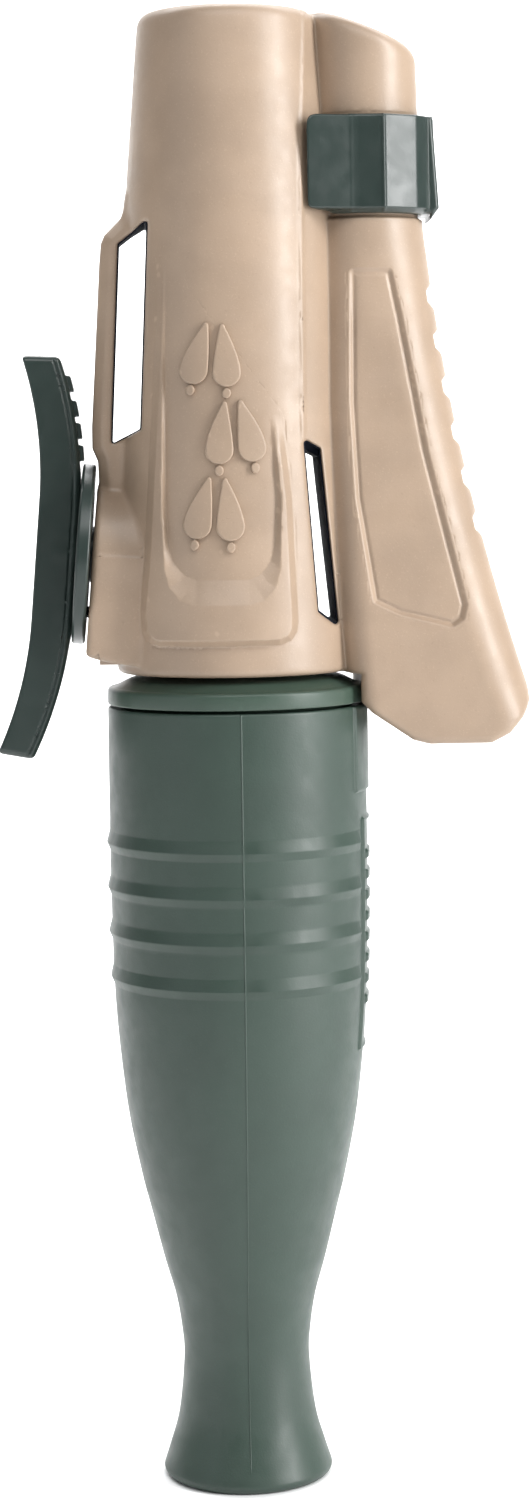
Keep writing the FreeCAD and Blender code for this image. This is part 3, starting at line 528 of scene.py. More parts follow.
def chamber_section(x, y, z):
    """Rounded section of the grip chamber, which grows towards its foot."""
    left = np.interp(z, (120.0, 140.0, 168.0, 203.0), (19.0, 16.6, 14.4, 12.9))
    right = grip_edge(z)
    half = np.interp(z, (120.0, 150.0, 176.0, 203.0), (12.0, 11.8, 11.3, 9.7))
    round_right = np.interp(z, (125.0, 175.0, 203.0), (7.6, 8.6, 9.5))
    round_left = np.interp(z, (125.0, 175.0, 203.0), (4.5, 6.0, 9.5))
    px = x - (left + right) / 2.0
    corner = np.where(px > 0, round_right, round_left)
    dx = np.abs(px) - (right - left) / 2.0 + corner
    dy = np.abs(y) - half + corner
    outside = np.hypot(np.maximum(dx, 0.0), np.maximum(dy, 0.0))
    return (outside + np.minimum(np.maximum(dx, dy), 0.0) - corner) * 0.975


def notch_field(x, z):
    """Finger notches in the grip edge."""
    result = np.full(np.shape(x), 9.0)
    for step in range(NOTCH_COUNT):
        level = NOTCH_FIRST - step * NOTCH_PITCH
        floor = float(grip_edge(level)) - NOTCH_DEPTH
        lean = 0.13 + 0.018 * step
        outline = [
            (floor, level + 1.0),
            (floor + lean * 2.0, level - 1.0),
            (floor + 4.2, level - 3.9),
            (floor + 4.0, level + 4.4),
        ]
        result = np.minimum(result, outline_distance(x, z, outline))
    return result


def panel_depth(x, z, inlaid):
    """Depth of the teardrop recess on both faces of the chamber, or of the pocket under it."""
    inside = -panel_edge(x, z)
    if inlaid:
        edge_groove = 0.22 * np.exp(-((inside - 0.85) / 0.3) ** 2)
        return 0.55 * smooth_step(inside, -0.1, 0.75) + edge_groove
    return np.clip(inside + 0.2, 0.0, PANEL_POCKET)


def chamber_field(x, y, z, inlaid=False):
    """Grip chamber with notches, recessed panel and rounded foot."""
    section = chamber_section(x, y, z)
    flat = (np.abs(y) > 6.0) & (z > 136.0) & (z < 200.0) & (x > 17.0)
    section[flat] += panel_depth(x[flat], z[flat], inlaid)
    body = soft_max(section, outline_distance(x, z, FOOT), 1.1)
    body = soft_max(body, z - 205.4, 0.5)
    edge = (x > 29.0) & (z > 148.0) & (z < 199.0)
    body[edge] = cut_away(body[edge], notch_field(x[edge], z[edge]), 0.4)
    return body


def rail_field(x, y, z):
    """Slim rail on the dial side, with its outer edges cut off at a slant."""
    outline = outline_distance(x, z, RAIL)
    side = np.abs(y) - 4.6
    return soft_max(soft_max(outline, side, 0.5), (outline + side) * 0.7071 + 1.25, 0.4)


def boss_tongue(x, y, z):
    """Small tongue under the boss, beside its gap."""
    block = np.maximum(np.abs(x + 20.9) - 1.45, np.abs(z - 135.4) - 1.9)
    return soft_max(block, np.abs(y) - 7.5, 0.3)


def boss_field(x, y, z):
    """Boss behind the dial: round head, square foot with a slanted underside, small tongue."""
    up, back, out = in_dial(x, y, z)
    head = np.hypot(up, back) - BOSS_R
    foot = np.maximum(np.abs(back) - BOSS_R, np.maximum(up, -BOSS_DROP - up))
    plan = soft_min(head, foot, 0.8)
    block = soft_max(plan, out + PAD_GAP, 1.3)
    block = soft_max(block, -BOSS_DEPTH - out, 0.5)
    underside = (134.4 - z) - 0.28 * (x + 22.0)
    block = soft_max(block, underside, 0.9)
    gap = np.maximum(np.abs(x + 22.55) - 0.18, np.abs(z - 134.0) - 1.5)
    block = np.maximum(block, -gap)
    return soft_min(block, boss_tongue(x, y, z), 0.15)


def air_ways(x, y, z):
    """Bores of barrel, mouth, bell socket and side tube."""
    radius = np.hypot(x, y)
    levels = (SOCKET_TOP - 0.05, SOCKET_TOP + 0.05, MOUTH_BORE_Z - 0.05, MOUTH_BORE_Z + 0.05)
    bores = np.interp(z, levels, (SOCKET_R, BORE_R, BORE_R, MOUTH_BORE_R))
    side = np.hypot(x - SIDE_X, y) - np.interp(z, (195.1, 195.3), (4.8, SIDE_BORE_R))
    return np.minimum(radius - bores, np.maximum(side, 191.0 - z))


def chamber_cavity(x, y, z):
    """Hollow of the chamber and its open foot."""
    hollow = chamber_section(x, y, z) + 2.4
    left = np.interp(z, (131.0, 139.5, 169.0, 193.0), (23.7, 20.2, 17.8, 17.2))
    hollow = np.maximum(np.maximum(hollow, left - x), np.maximum(122.3 - z, z - 193.0))
    pillar = round_bar(x, z, 44.3, 128.6, 3.0)
    foot = np.maximum(np.abs(x - 36.2) - 4.0, np.maximum(np.abs(y) - 7.0, z - 123.0))
    return np.minimum(np.maximum(hollow, -pillar), foot)


def slot_field(x, z):
    """Both long slots that go right through."""
    left = rounded_distance(x, z, LEFT_SLOT, SLOT_CORNER_R)
    return np.minimum(left, rounded_distance(x, z, RIGHT_SLOT, SLOT_CORNER_R))


def screw_field(x, y, z):
    """Sunk seats of the shell screws at the back."""
    result = np.full(np.shape(x), 9.0)
    for seat_x, seat_z, seat_y in SCREW_SEATS:
        head = np.maximum(round_bar(x, z, seat_x, seat_z, SCREW_HEAD_R), seat_y - y)
        shank = np.maximum(round_bar(x, z, seat_x, seat_z, SCREW_SHANK_R), -SCREW_REACH - y)
        result = np.minimum(result, np.minimum(head, shank))
    return result


def whole_field(x, y, z, inlaid=False):
    """Tan body without its slots and hollows, apart from the air ways."""
    body = soft_min(barrel_field(x, y, z, inlaid), side_tube_field(x, y, z), 0.7)
    body = soft_min(body, chamber_field(x, y, z, inlaid), 0.7)
    left = x < -8.0
    rail = soft_min(body[left], rail_field(x[left], y[left], z[left]), 1.3)
    body[left] = soft_min(rail, boss_field(x[left], y[left], z[left]), 0.8)
    relief = np.maximum(np.hypot(x, y) - RELIEF_R, z - RELIEF_TOP)
    body = np.where(x > 10.0, cut_away(body, relief, 0.5), body)
    return cut_away(body, air_ways(x, y, z), 0.5)


def inlay(x, y, z, edge):
    """Finely meshed top layer of the body inside an outline; its rim dips just below the body."""
    whole = whole_field(x, y, z, True)
    top = whole - INLAY_RISE + INLAY_DIP * np.maximum(edge - INLAY_RIM, 0.0)
    return np.maximum(np.maximum(top, edge - INLAY_END), -INLAY_T - whole)


def plinth_field(x, y, z):
    """Raised frame on the front of the barrel and the sunk floor within it."""
    return np.maximum(inlay(x, y, z, plinth_edge(x, z)), y + FACE_Y)


def front_panel_field(x, y, z):
    """Recessed panel on the front face of the chamber."""
    return np.maximum(inlay(x, y, z, panel_edge(x, z)), y + FACE_Y)


def back_panel_field(x, y, z):
    """Recessed panel on the back face of the chamber."""
    return np.maximum(inlay(x, y, z, panel_edge(x, z)), FACE_Y - y)


def dial_passage(x, y, z):
    """Stepped hole for the dial's bushing and shaft."""
    up, back, out = in_dial(x, y, z)
    levels = (-16.6, -11.0, -10.9, -1.4, -1.3)
    radii = (2.6, 2.6, 3.65, 3.65, 5.55)
    return np.maximum(np.hypot(up, back) - np.interp(out, levels, radii), -16.5 - out)


def body_field(x, y, z):
    """Whole tan body before it is parted."""
    body = whole_field(x, y, z)
    left = x < -8.0
    slotted = ((np.abs(x + 16.7) < 7.0) & (z > 164.0)) | (np.abs(x - 14.0) < 6.5)
    body[slotted] = cut_away(body[slotted], slot_field(x[slotted], z[slotted]), 0.6)
    body = np.maximum(body, -chamber_cavity(x, y, z))
    body = np.maximum(body, -screw_field(x, y, z))
    return np.where(left, np.maximum(body, -dial_passage(x, y, z)), body)


def front_field(x, y, z):
    """Front half of the body."""
    return soft_max(body_field(x, y, z), y + SEAM, 0.35)


def back_field(x, y, z):
    """Back half of the body."""
    return soft_max(body_field(x, y, z), SEAM - y, 0.35)


def slot_shade_field(x, y, z):
    """Thin dark sleeves inside the two slots, sunk below the surface, with the right slot's stop; they paint shade
    on the slot walls.
    """
    slot = slot_field(x, z)
    whole = whole_field(x, y, z)
    wall = soft_max(np.abs(slot - 0.03) - 0.26, whole + SLOT_SHADE_SUNK, 0.2)
    corner_x, corner_z = RIGHT_SLOT[0]
    below_top = -0.483 * (x - corner_x) - 0.876 * (z - corner_z)
    stop = np.maximum(np.maximum(slot - 0.1, below_top - 1.35), 10.0 - x)
    return np.minimum(wall, soft_max(stop, whole + 1.6 + 0.9 * below_top, 0.3))


# ------------ raised deer tracks
# X, Z and lean in radians of every track
TRACKS = [(-3.8, 182.6, 0.10), (-0.2, 170.2, -0.06), (-3.6, 158.0, 0.08)]
TRACK_HEIGHT = 0.75
TRACK_SUNK = 0.6


def track_distance(x, z):
    """Outlines of three deer tracks: two hoof halves and two dew claws each."""
    result = np.full(np.shape(x), 9.0)
    for centre_x, centre_z, lean in TRACKS:
        side = (x - centre_x) * math.cos(lean) - (z - centre_z) * math.sin(lean)
        up = (x - centre_x) * math.sin(lean) + (z - centre_z) * math.cos(lean)
        half = np.abs(side)
        share = np.clip((up + 1.9) / 7.2, 0.0, 1.0)
        middle = 2.65 - 1.35 * share ** 1.4
        width = 2.3 - 1.85 * share ** 1.5
        reach = (np.hypot(half - middle, up - (-1.9 + 7.2 * share)) - width) * 0.93
        claw = np.hypot((half - 2.9) * 1.1, (up + 5.2) * 0.95) - 0.8
        result = np.minimum(result, np.minimum(reach, claw))
    return result


def tracks_field(x, y, z):
    """Raised tracks that follow the barrel's front."""
    wall = np.hypot(x, y) - np.interp(z, BARREL_LEVELS, BARREL_RADII)
    outline = track_distance(x, z)
    plate = soft_max(outline, wall - TRACK_HEIGHT, 0.1)
    plate = soft_max(plate, (outline + wall - TRACK_HEIGHT) * 0.7071 + 0.1, 0.08)
    return np.maximum(np.maximum(plate, -TRACK_SUNK - wall), y + FACE_Y)


# ------------ wheeze ring
# Middle and half width of every flute, and the place of every rib, as bearings in degrees
RING_FLUTES = [(-90.5, 13.5), (-61.5, 15.5), (46.5, 15.5), (81.5, 15.0)]
RING_RIBS = (-104.0, -77.0)
WING = [(20.8, -11.2), (19.6, -11.5), (12.2, -13.4), (12.2, -9.0), (16.5, -5.0), (20.8, -9.5)]
WING_CLEAR_R = 17.55
THUMB_PAD = [
    (30.0, 222.2), (33.4, 222.2), (34.3, 207.2), (32.8, 205.2), (32.8, 206.2), (30.0, 206.2),
]


def ring_reach(bearing):
    """Outer radius of the ring by its bearing: shallow flutes with slim ribs between them."""
    reach = np.full(np.shape(bearing), RING_OUTER)
    for middle, half in RING_FLUTES:
        share = (bearing - math.radians(middle)) / math.radians(half)
        reach -= 0.34 * np.maximum(1.0 - share * share, 0.0)
    for rib in RING_RIBS:
        away = (bearing - math.radians(rib)) * RING_OUTER
        reach += 0.16 * np.exp(-(away / 0.24) ** 2)
    return reach


def ring_field(x, y, z):
    """Open ring with a wing, ribs, thumb pad, bevelled lower edge and vent hole."""
    radius = np.hypot(x - SIDE_X, y)
    bearing = np.arctan2(y, x - SIDE_X)
    middle = (RING_TOP + RING_BOTTOM) / 2.0
    half = (RING_TOP - RING_BOTTOM) / 2.0
    wall = (radius - ring_reach(bearing)) * 0.97
    wall = soft_max(wall, (RING_FRONT - bearing) * radius, 0.5)
    wall = soft_max(wall, (bearing - RING_BACK) * radius, 0.7)
    wing = soft_max(outline_distance(x, y, WING), WING_CLEAR_R - np.hypot(x, y), 0.3)
    wing = soft_max(wing, soft_max(WING[2][0] - x, np.abs(z - middle) - half, 2.2), 0.4)
    wall = soft_min(wall, wing, 0.2)
    bevel = (wall + 0.55) * 0.64 + (RING_BOTTOM + 0.35 - z) * 0.77
    wall = soft_max(wall, np.abs(z - middle) - half, 0.5)
    wall = soft_max(wall, bevel, 0.12)
    pad = soft_max(outline_distance(x, z, THUMB_PAD), np.abs(y) - 5.6, 0.9)
    wall = soft_min(wall, pad, 0.15)
    wall = soft_max(wall, RING_INNER - radius, 0.4)
    hole_at = math.radians(80.0) - RING_TURN
    across = -(x - SIDE_X) * math.sin(hole_at) + y * math.cos(hole_at)
    along = (x - SIDE_X) * math.cos(hole_at) + y * math.sin(hole_at)
    hole = np.maximum(np.maximum(np.abs(across) - 2.5, np.abs(z - 215.0) - 3.5), -along)
    return cut_away(wall, hole, 0.4)


# ------------ bow handle
def handle_ends(up, out):
    """Both end faces of the handle, each cut at its own slant."""
    top, foot = math.radians(2.5), math.radians(6.0)
    high = (up - HANDLE_ENDS[1]) * math.cos(top) + (out - 10.0) * math.sin(top)
    low = (HANDLE_ENDS[0] - up) * math.cos(foot) + (out - 13.0) * math.sin(foot)
    return np.maximum(high, low)


def handle_field(x, y, z):
    """Bow handle between a flat middle and two arcs, with an edge groove and grip blocks."""
    up, back, out = in_dial(x, y, z)
    past_in = np.maximum(np.maximum(HANDLE_FLAT_IN[0] - up, up - HANDLE_FLAT_IN[1]), 0.0)
    past_out = np.maximum(np.maximum(HANDLE_FLAT_OUT[0] - up, up - HANDLE_FLAT_OUT[1]), 0.0)
    inner = np.hypot(past_in, out - DISC_T - HANDLE_IN_R) - HANDLE_IN_R
    outer = HANDLE_OUT_R - np.hypot(past_out, out - HANDLE_OUT - HANDLE_OUT_R)
    ends = handle_ends(up, out)
    plan = soft_max(soft_max(inner, outer, 0.9), ends, 0.9)
    side = np.abs(back) - HANDLE_HALF_WIDTH
    bar = soft_max(plan, side, 0.5)
    bar = soft_max(bar, (side + ends) * 0.7071 + 0.45, 0.3)
    bar = soft_max(bar, (side + inner) * 0.7071 + 0.42, 0.12)
    groove = np.hypot(inner + 1.15, side) - 0.22
    bar = cut_away(bar, groove, 0.1)
    boss = soft_max(np.hypot(up, back) - 5.2, np.abs(out - 4.2) - 2.0, 0.5)
    bar = soft_min(bar, boss, 0.6)
    for centre in HANDLE_BLOCKS:
        block = np.maximum(np.abs(up - centre) - 1.3, np.abs(back) - 4.4)
        block = soft_max(block, np.abs(inner + 0.4) - 0.4 - 0.75, 0.3)
        bar = soft_min(bar, block, 0.15)
    head = np.maximum(np.hypot(up, back) - 3.1, 6.6 - out)
    shank = np.hypot(up, back) - 1.6
    return cut_away(bar, np.minimum(head, shank), 0.4)


# ------------ bell and collar, turned
# Radius and Z of points on the bell's outside, and of the collar's three stretches
BELL_OUTLINE = [
    (13.8, 1.4), (12.75, 4.6), (11.2, 10.2), (10.3, 19.0), (10.6, 24.0), (11.5, 29.4),
    (13.2, 35.3), (15.2, 43.2), (16.9, 50.0), (19.0, 61.1), (20.6, 77.0), (21.1, 94.0),
    (21.2, 110.0), (21.2, 126.0),
]
COLLAR_SPIGOT = [
    (10.0, 138.0), (12.2, 138.0), (12.4, 137.8), (12.4, 135.6),
    (10.9, 135.6), (10.9, 134.0), (12.4, 134.0), (12.4, 131.8),
]
COLLAR_SLOPE = [
    (12.9, 131.45), (14.6, 131.25), (16.0, 131.1), (17.5, 130.8),
    (18.6, 130.3), (19.6, 129.8), (20.3, 129.5),
]
COLLAR_INSIDE = [(18.95, 126.7), (18.95, 112.5), (16.8, 112.5), (16.8, 121.5), (10.0, 127.0)]
# Reach of a ridge's slopes above and below its crest
RIDGE_UP = 1.95
RIDGE_DOWN = 1.33
BELL_RIDGES = [104.1 - 7.3 * index for index in range(4)]
BELL_BARS = [78.0 + 3.4 * index for index in range(8)]


def smooth_profile(points, per_span):
    """Points on a smooth curve through (radius, z) points, by Catmull-Rom spans."""
    spots = np.array(points, float)
    padded = np.vstack([2 * spots[0] - spots[1], spots, 2 * spots[-1] - spots[-2]])
    result = []
    for start in range(len(spots) - 1):
        a, b, c, d = padded[start:start + 4]
        for t in np.arange(per_span) / per_span:
            result.append(0.5 * (2 * b + (c - a) * t + (2 * a - 5 * b + 4 * c - d) * t * t
                                 + (3 * b - a - 3 * c + d) * t ** 3))
    return result + [spots[-1]]


def corner_arc(centre, radius, start, end, count):
    """Points on a small arc of a profile, in degrees."""
    angles = np.radians(np.linspace(start, end, count))
    return [np.array((centre[0] + radius * math.cos(a), centre[1] + radius * math.sin(a))) for a in angles]


def turn(name, profile, bearings, relief=None):
    """Closed mesh of a profile loop turned about Z, with an optional change of radius."""
    loop = np.array(profile)
    radius, level = np.meshgrid(loop[:, 0], bearings, indexing="ij")[0], loop[:, 1][:, None]
    bearing = np.broadcast_to(bearings, radius.shape)
    level = np.broadcast_to(level, radius.shape)
    if relief is not None:
        radius = radius + relief(radius, bearing, level)
    places = np.stack([radius * np.cos(bearing), radius * np.sin(bearing), level], -1).reshape(-1, 3)
    rows, columns = radius.shape
    index = np.arange(rows * columns).reshape(rows, columns)
    ahead = np.roll(index, -1, 0)
    faces = np.stack([index, np.roll(index, -1, 1), np.roll(ahead, -1, 1), ahead], -1).reshape(-1, 4)
    return new_mesh(name, places, faces)


def bell_bearings():
    """Bearings around the bell, closer together at the mould lines and where features end."""
    even = np.arange(240) * 2.0 * math.pi / 240
    fine = np.array([-0.010, -0.006, -0.0035, -0.001, 0.001, 0.0035, 0.006, 0.010])
    lines = [fine + side * math.pi / 2 for side in (-1, 1)]
    starts = [side * (math.pi / 2 - np.array([0.075, 0.085, 0.100, 0.115])) for side in (-1, 1)]
    steps = np.array([5.0, 5.4, 6.8, 7.05, 7.35, 7.6, 8.3, 9.3, 10.3, 10.6]) / BELL_R
    every = np.concatenate([even, *lines, *starts, steps, -steps]) % (2.0 * math.pi)
    return np.unique(np.round(every, 5))


def bell_levels(low, high):
    """Heights of the bell's rows, closer together along every crease."""
    rows = list(np.arange(low, high, 0.85))
    for ridge in BELL_RIDGES:
        rows += [ridge + RIDGE_UP + 0.12, ridge + RIDGE_UP - 0.12, ridge + 1.0, ridge + 0.16, ridge]
        rows += [ridge - 0.16, ridge - 0.7, ridge - RIDGE_DOWN + 0.12, ridge - RIDGE_DOWN - 0.12]
    for edge in (BELL_PAD_FOOT, *BELL_FRAME):
        rows += [edge - 0.45, edge - 0.15, edge + 0.15, edge + 0.45]
    for bar in BELL_BARS:
        rows += [bar - 1.1, bar - 0.85, bar - 0.6, bar + 0.6, bar + 0.85, bar + 1.1]
    return [row for row in sorted(set(np.round(rows, 3))) if low <= row <= high]


def bell_relief(radius, bearing, level):
    """Ridges, mould lines, side pad and the framed grip bars of the bell."""
    turned = (bearing + math.pi) % (2.0 * math.pi) - math.pi
    side = turned * BELL_R
    line = (np.abs(turned) - math.pi / 2) * BELL_R
    crest = np.zeros(radius.shape)
    for ridge in BELL_RIDGES:
        upper = np.clip(1.0 - (level - ridge) / RIDGE_UP, 0.0, 1.0)
        lower = np.clip(1.0 - (ridge - level) / RIDGE_DOWN, 0.0, 1.0)
        crest = np.maximum(crest, 0.52 * np.minimum(upper, lower))
    around = smooth_step(np.abs(side), 8.3, 9.3) * (1.0 - 0.75 * smooth_step(line, -3.2, -0.1))
    behind = smooth_step(line, -0.12, -0.02)
    crest = crest * np.maximum(around, behind)
    mould_line = 1.0 - smooth_step(np.abs(line), 0.03, 0.13)
    crest += 0.11 * mould_line * smooth_step(level, 3.0, 6.0)
    above = smooth_step(level, BELL_PAD_FOOT - 0.15, BELL_PAD_FOOT + 0.15)
    pad = (1.0 - smooth_step(np.abs(side), 10.3, 10.6)) * above
    crest += 0.38 * pad
    past_ends = np.maximum(BELL_FRAME[0] - level, level - BELL_FRAME[1])
    frame_edge = np.maximum(np.abs(side) - 7.2, past_ends)
    crest += 0.35 * (1.0 - smooth_step(np.abs(frame_edge), 0.15, 0.4))
    for bar in BELL_BARS:
        block = np.maximum(np.abs(side) - 5.0, np.abs(level - bar) - 0.6)
        crest += 0.4 * (1.0 - smooth_step(block, 0.0, 0.3))
    return np.where((radius > 9.9) & (level > 1.5), crest, 0.0)


def make_bell():
    """Rubber bell: flared mouth, waist, ridged body and straight top."""
    outer = np.array(smooth_profile(BELL_OUTLINE, 12))
    inner = [np.array((r - 2.1, z)) for r, z in outer[24:-14:5]]
    levels = bell_levels(1.6, BELL_TOP - 0.5)
    loop = [np.array((11.5, 0.6)), *corner_arc((12.1, 0.6), 0.6, 180, 270, 4)]
    loop += corner_arc((12.4, 1.4), 1.4, 275, 355, 7)
    loop += [np.array((np.interp(level, outer[:, 1], outer[:, 0]), level)) for level in levels]
    loop += corner_arc((20.85, BELL_TOP - 0.35), 0.35, 0, 90, 4)
    loop += [np.array((19.05, BELL_TOP)), np.array((19.05, 112.0))]
    loop += inner[::-1]
    loop += [np.array((9.4, 9.0)), np.array((11.5, 3.0))]
    bell = turn("bell_rubber", loop, bell_bearings(), bell_relief)
    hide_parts("bell")
    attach(bell, "bell_unit")
    return bell


def make_collar():
    """Collar with a rounded flange and a hollow slope up to its neck."""
    loop = [np.array(place) for place in COLLAR_SPIGOT]
    loop += smooth_profile(COLLAR_SLOPE, 4)
    loop += corner_arc((20.55, 128.85), 0.65, 80, 0, 7)
    loop += corner_arc((20.95, 126.95), 0.25, 0, -90, 4)
    loop += [np.array(place) for place in COLLAR_INSIDE]
    collar = turn("collar_flange", loop[::-1], np.arange(240) * 2.0 * math.pi / 240)
    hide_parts("bell_collar")
    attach(collar, "bell_unit")
    return collar


# ------------ materials
class Nodes:
    """Small helper that adds and links shader nodes."""

    def __init__(self, name):
        """New material with its shader and the object's own coordinates."""
        self.material = bpy.data.materials.new(name)
        self.material.use_nodes = True
        self.tree = self.material.node_tree
        self.shader = self.tree.nodes["Principled BSDF"]
        self.place = self.add("ShaderNodeTexCoord").outputs["Object"]

    def add(self, kind, **values):
        """New node with attributes and unlinked inputs set by name."""
        node = self.tree.nodes.new(kind)
        for key, value in values.items():
            if hasattr(node, key):
                setattr(node, key, value)
            else:
                node.inputs[key.replace("_", " ")].default_value = value
        return node

    def link(self, source, target):
        """Link an output to an input."""
        self.tree.links.new(source, target)

    def noise(self, scale, detail=2.0, stretch=None):
        """Noise by the object's own coordinates, in metres."""
        node = self.add("ShaderNodeTexNoise", Scale=scale, Detail=detail)
        source = self.place
        if stretch is not None:
            mapping = self.add("ShaderNodeMapping", Scale=stretch)
            self.link(source, mapping.inputs["Vector"])
            source = mapping.outputs["Vector"]
        self.link(source, node.inputs["Vector"])
        return node.outputs["Fac"]

    def ramp(self, source, low, high, start=0.0, end=1.0):
        """Map a value between two limits to another pair of limits."""
        node = self.add("ShaderNodeMapRange", interpolation_type="SMOOTHSTEP")
        for slot, value in zip(("From Min", "From Max", "To Min", "To Max"), (low, high, start, end)):
            node.inputs[slot].default_value = value
        self.link(source, node.inputs["Value"])
        return node.outputs["Result"]

    def mix(self, share, first, second):
        """Mix of two colours."""
        node = self.add("ShaderNodeMix", data_type="RGBA")
        for index, colour in ((6, first), (7, second)):
            if isinstance(colour, tuple):
                node.inputs[index].default_value = (*colour, 1.0)
            else:
                self.link(colour, node.inputs[index])
        self.link(share, node.inputs[0])
        return node.outputs[2]

    def bump(self, heights):
        """Chain of bumps from (height, strength, distance) triples."""
        normal = None
        for height, strength, distance in heights:
            node = self.add("ShaderNodeBump", Strength=strength, Distance=distance)
            self.link(height, node.inputs["Height"])
            if normal is not None:
                self.link(normal, node.inputs["Normal"])
            normal = node.outputs["Normal"]
        self.link(normal, self.shader.inputs["Normal"])


def shade(colour, factor):
    """Colour made darker or lighter."""
    return tuple(min(1.0, channel * factor) for channel in colour)


def moulded(name, colour, rough, grain=1.0, speckle=0.12, wear=0.25, coat=0.0, gloss=0.5):
    """Moulded plastic or rubber: mottled, finely grained, worn lighter along its edges."""
    nodes = Nodes(name)
    mottle = nodes.ramp(nodes.noise(95.0, 4.0), 0.3, 0.7)
    base = nodes.mix(mottle, shade(colour, 0.94), shade(colour, 1.06))
    specks = nodes.ramp(nodes.noise(3600.0, 1.0), 0.62, 0.74, 0.0, speckle)
    base = nodes.mix(specks, base, shade(colour, 2.0))
    pits = nodes.ramp(nodes.noise(2300.0, 2.0), 0.64, 0.74, 0.0, speckle * 1.3)
    base = nodes.mix(pits, base, shade(colour, 0.5))
    edge = nodes.add("ShaderNodeNewGeometry").outputs["Pointiness"]
    worn = nodes.ramp(edge, 0.53, 0.62, 0.0, wear)
    base = nodes.mix(worn, base, shade(colour, 1.55))
    nodes.link(base, nodes.shader.inputs["Base Color"])
    uneven = nodes.ramp(nodes.noise(340.0, 3.0), 0.25, 0.75, rough - 0.05, rough + 0.06)
    nodes.link(uneven, nodes.shader.inputs["Roughness"])
    fine = (nodes.noise(3200.0, 2.0), 0.55 * grain, 0.00003)
    coarse = (nodes.noise(1100.0, 2.0), 0.3 * grain, 0.00004)
    nodes.bump([fine, coarse])
    nodes.shader.inputs["Specular IOR Level"].default_value = gloss
    if coat:
        nodes.shader.inputs["Coat Weight"].default_value = coat
        nodes.shader.inputs["Coat Roughness"].default_value = 0.22
    return nodes.material


def ground_metal(name, colour, rough):
    """Bright metal with fine turning marks."""
    nodes = Nodes(name)
    marks = nodes.noise(900.0, 3.0, (1.0, 6.0, 1.0))
    base = nodes.mix(nodes.ramp(marks, 0.3, 0.7), shade(colour, 0.85), colour)
    nodes.link(base, nodes.shader.inputs["Base Color"])
    nodes.shader.inputs["Metallic"].default_value = 1.0
    nodes.link(nodes.ramp(marks, 0.3, 0.7, rough, rough + 0.15), nodes.shader.inputs["Roughness"])
    nodes.bump([(marks, 0.3, 0.00002)])
    return nodes.material


def film(name, colour):
    """Thin glossy film of the reed."""
    nodes = Nodes(name)
    cloud = nodes.ramp(nodes.noise(400.0, 2.0), 0.3, 0.7)
    nodes.link(nodes.mix(cloud, shade(colour, 0.94), colour), nodes.shader.inputs["Base Color"])
    nodes.link(nodes.ramp(nodes.noise(900.0), 0.3, 0.7, 0.12, 0.2), nodes.shader.inputs["Roughness"])
    nodes.bump([(nodes.noise(1500.0), 0.1, 0.00002)])
    return nodes.material


TAN = (0.350, 0.257, 0.184)
DARK_GREEN = (0.020, 0.032, 0.028)
COLLAR_GREEN = (0.042, 0.070, 0.052)
BELL_GREEN = (0.026, 0.048, 0.036)

MATERIALS = {
    "tan_plastic": moulded("tan_plastic", TAN, 0.42, wear=0.30, gloss=0.65),
    "dark_green_plastic": moulded("dark_green_plastic", DARK_GREEN, 0.33, 0.35, 0.05, 0.35, 0.15),
    "collar_plastic": moulded("collar_plastic", COLLAR_GREEN, 0.40, 0.7, 0.08, 0.3),
    "bell_rubber": moulded("bell_rubber", BELL_GREEN, 0.45, 1.0, 0.14, 0.22, gloss=0.6),
    # Near-black, blue-tinged colour of the slot sleeves: painted shade on the slot walls.
    "liner_plastic": moulded("liner_plastic", (0.009, 0.011, 0.019), 0.8, 0.5, 0.05, 0.1, gloss=0.1),
    "insert_plastic": moulded("insert_plastic", (0.04, 0.04, 0.042), 0.42, 0.7, 0.08, 0.2),
    "bushing_nylon": moulded("bushing_nylon", (0.70, 0.68, 0.60), 0.38, 0.4, 0.03, 0.1),
    "wedge_foam": moulded("wedge_foam", (0.15, 0.15, 0.15), 0.8, 1.6, 0.2, 0.1),
    "seal_rubber": moulded("seal_rubber", (0.018, 0.018, 0.018), 0.55, 0.6, 0.05, 0.1),
    "reed_film": film("reed_film", (0.75, 0.72, 0.62)),
    "screw_steel": ground_metal("screw_steel", (0.50, 0.50, 0.52), 0.28),
    "shaft_steel": ground_metal("shaft_steel", (0.60, 0.60, 0.61), 0.2),
}


def paint(piece, slot):
    """Give a piece the material of a slot."""
    piece.data.materials.clear()
    piece.data.materials.append(MATERIALS[slot])


def finish_cad_nodes():
    """Give every carried-over CAD node its slot's material."""
    for subpart in frame["record"]["subparts"]:
        node = frame["nodes"][subpart["node"]]
        material = MATERIALS[subpart["material_slot"]]
        if not node.material_slots:
            node.data.materials.append(material)
        for slot in node.material_slots:
            slot.material = material


# ------------ camera, light, stage
def make_camera():
    """Camera a little above the middle, turned to the call, shifted down to frame it."""
    data = bpy.data.cameras.new("camera")
    aside = VIEW_CENTRE_X - CAMERA_X
    data.sensor_fit = "VERTICAL"
    data.sensor_height = 36.0
    data.lens = 36.0 * math.hypot(CAMERA_FAR, aside) / VIEW_HEIGHT
    data.shift_y = (VIEW_MIDDLE - CAMERA_Z) / VIEW_HEIGHT
    camera = bpy.data.objects.new("camera", data)
    turn_to_call = Matrix.Rotation(-math.atan2(aside, CAMERA_FAR), 4, "Z")
    level = Matrix.Rotation(math.radians(90.0), 4, "X")
    roll = Matrix.Rotation(math.radians(VIEW_ROLL), 4, "Z")
    spot = Matrix.Translation((CAMERA_X, -CAMERA_FAR, CAMERA_Z))
    camera.matrix_world = spot @ turn_to_call @ (level @ roll)
    bpy.context.scene.collection.objects.link(camera)
    bpy.context.scene.camera = camera


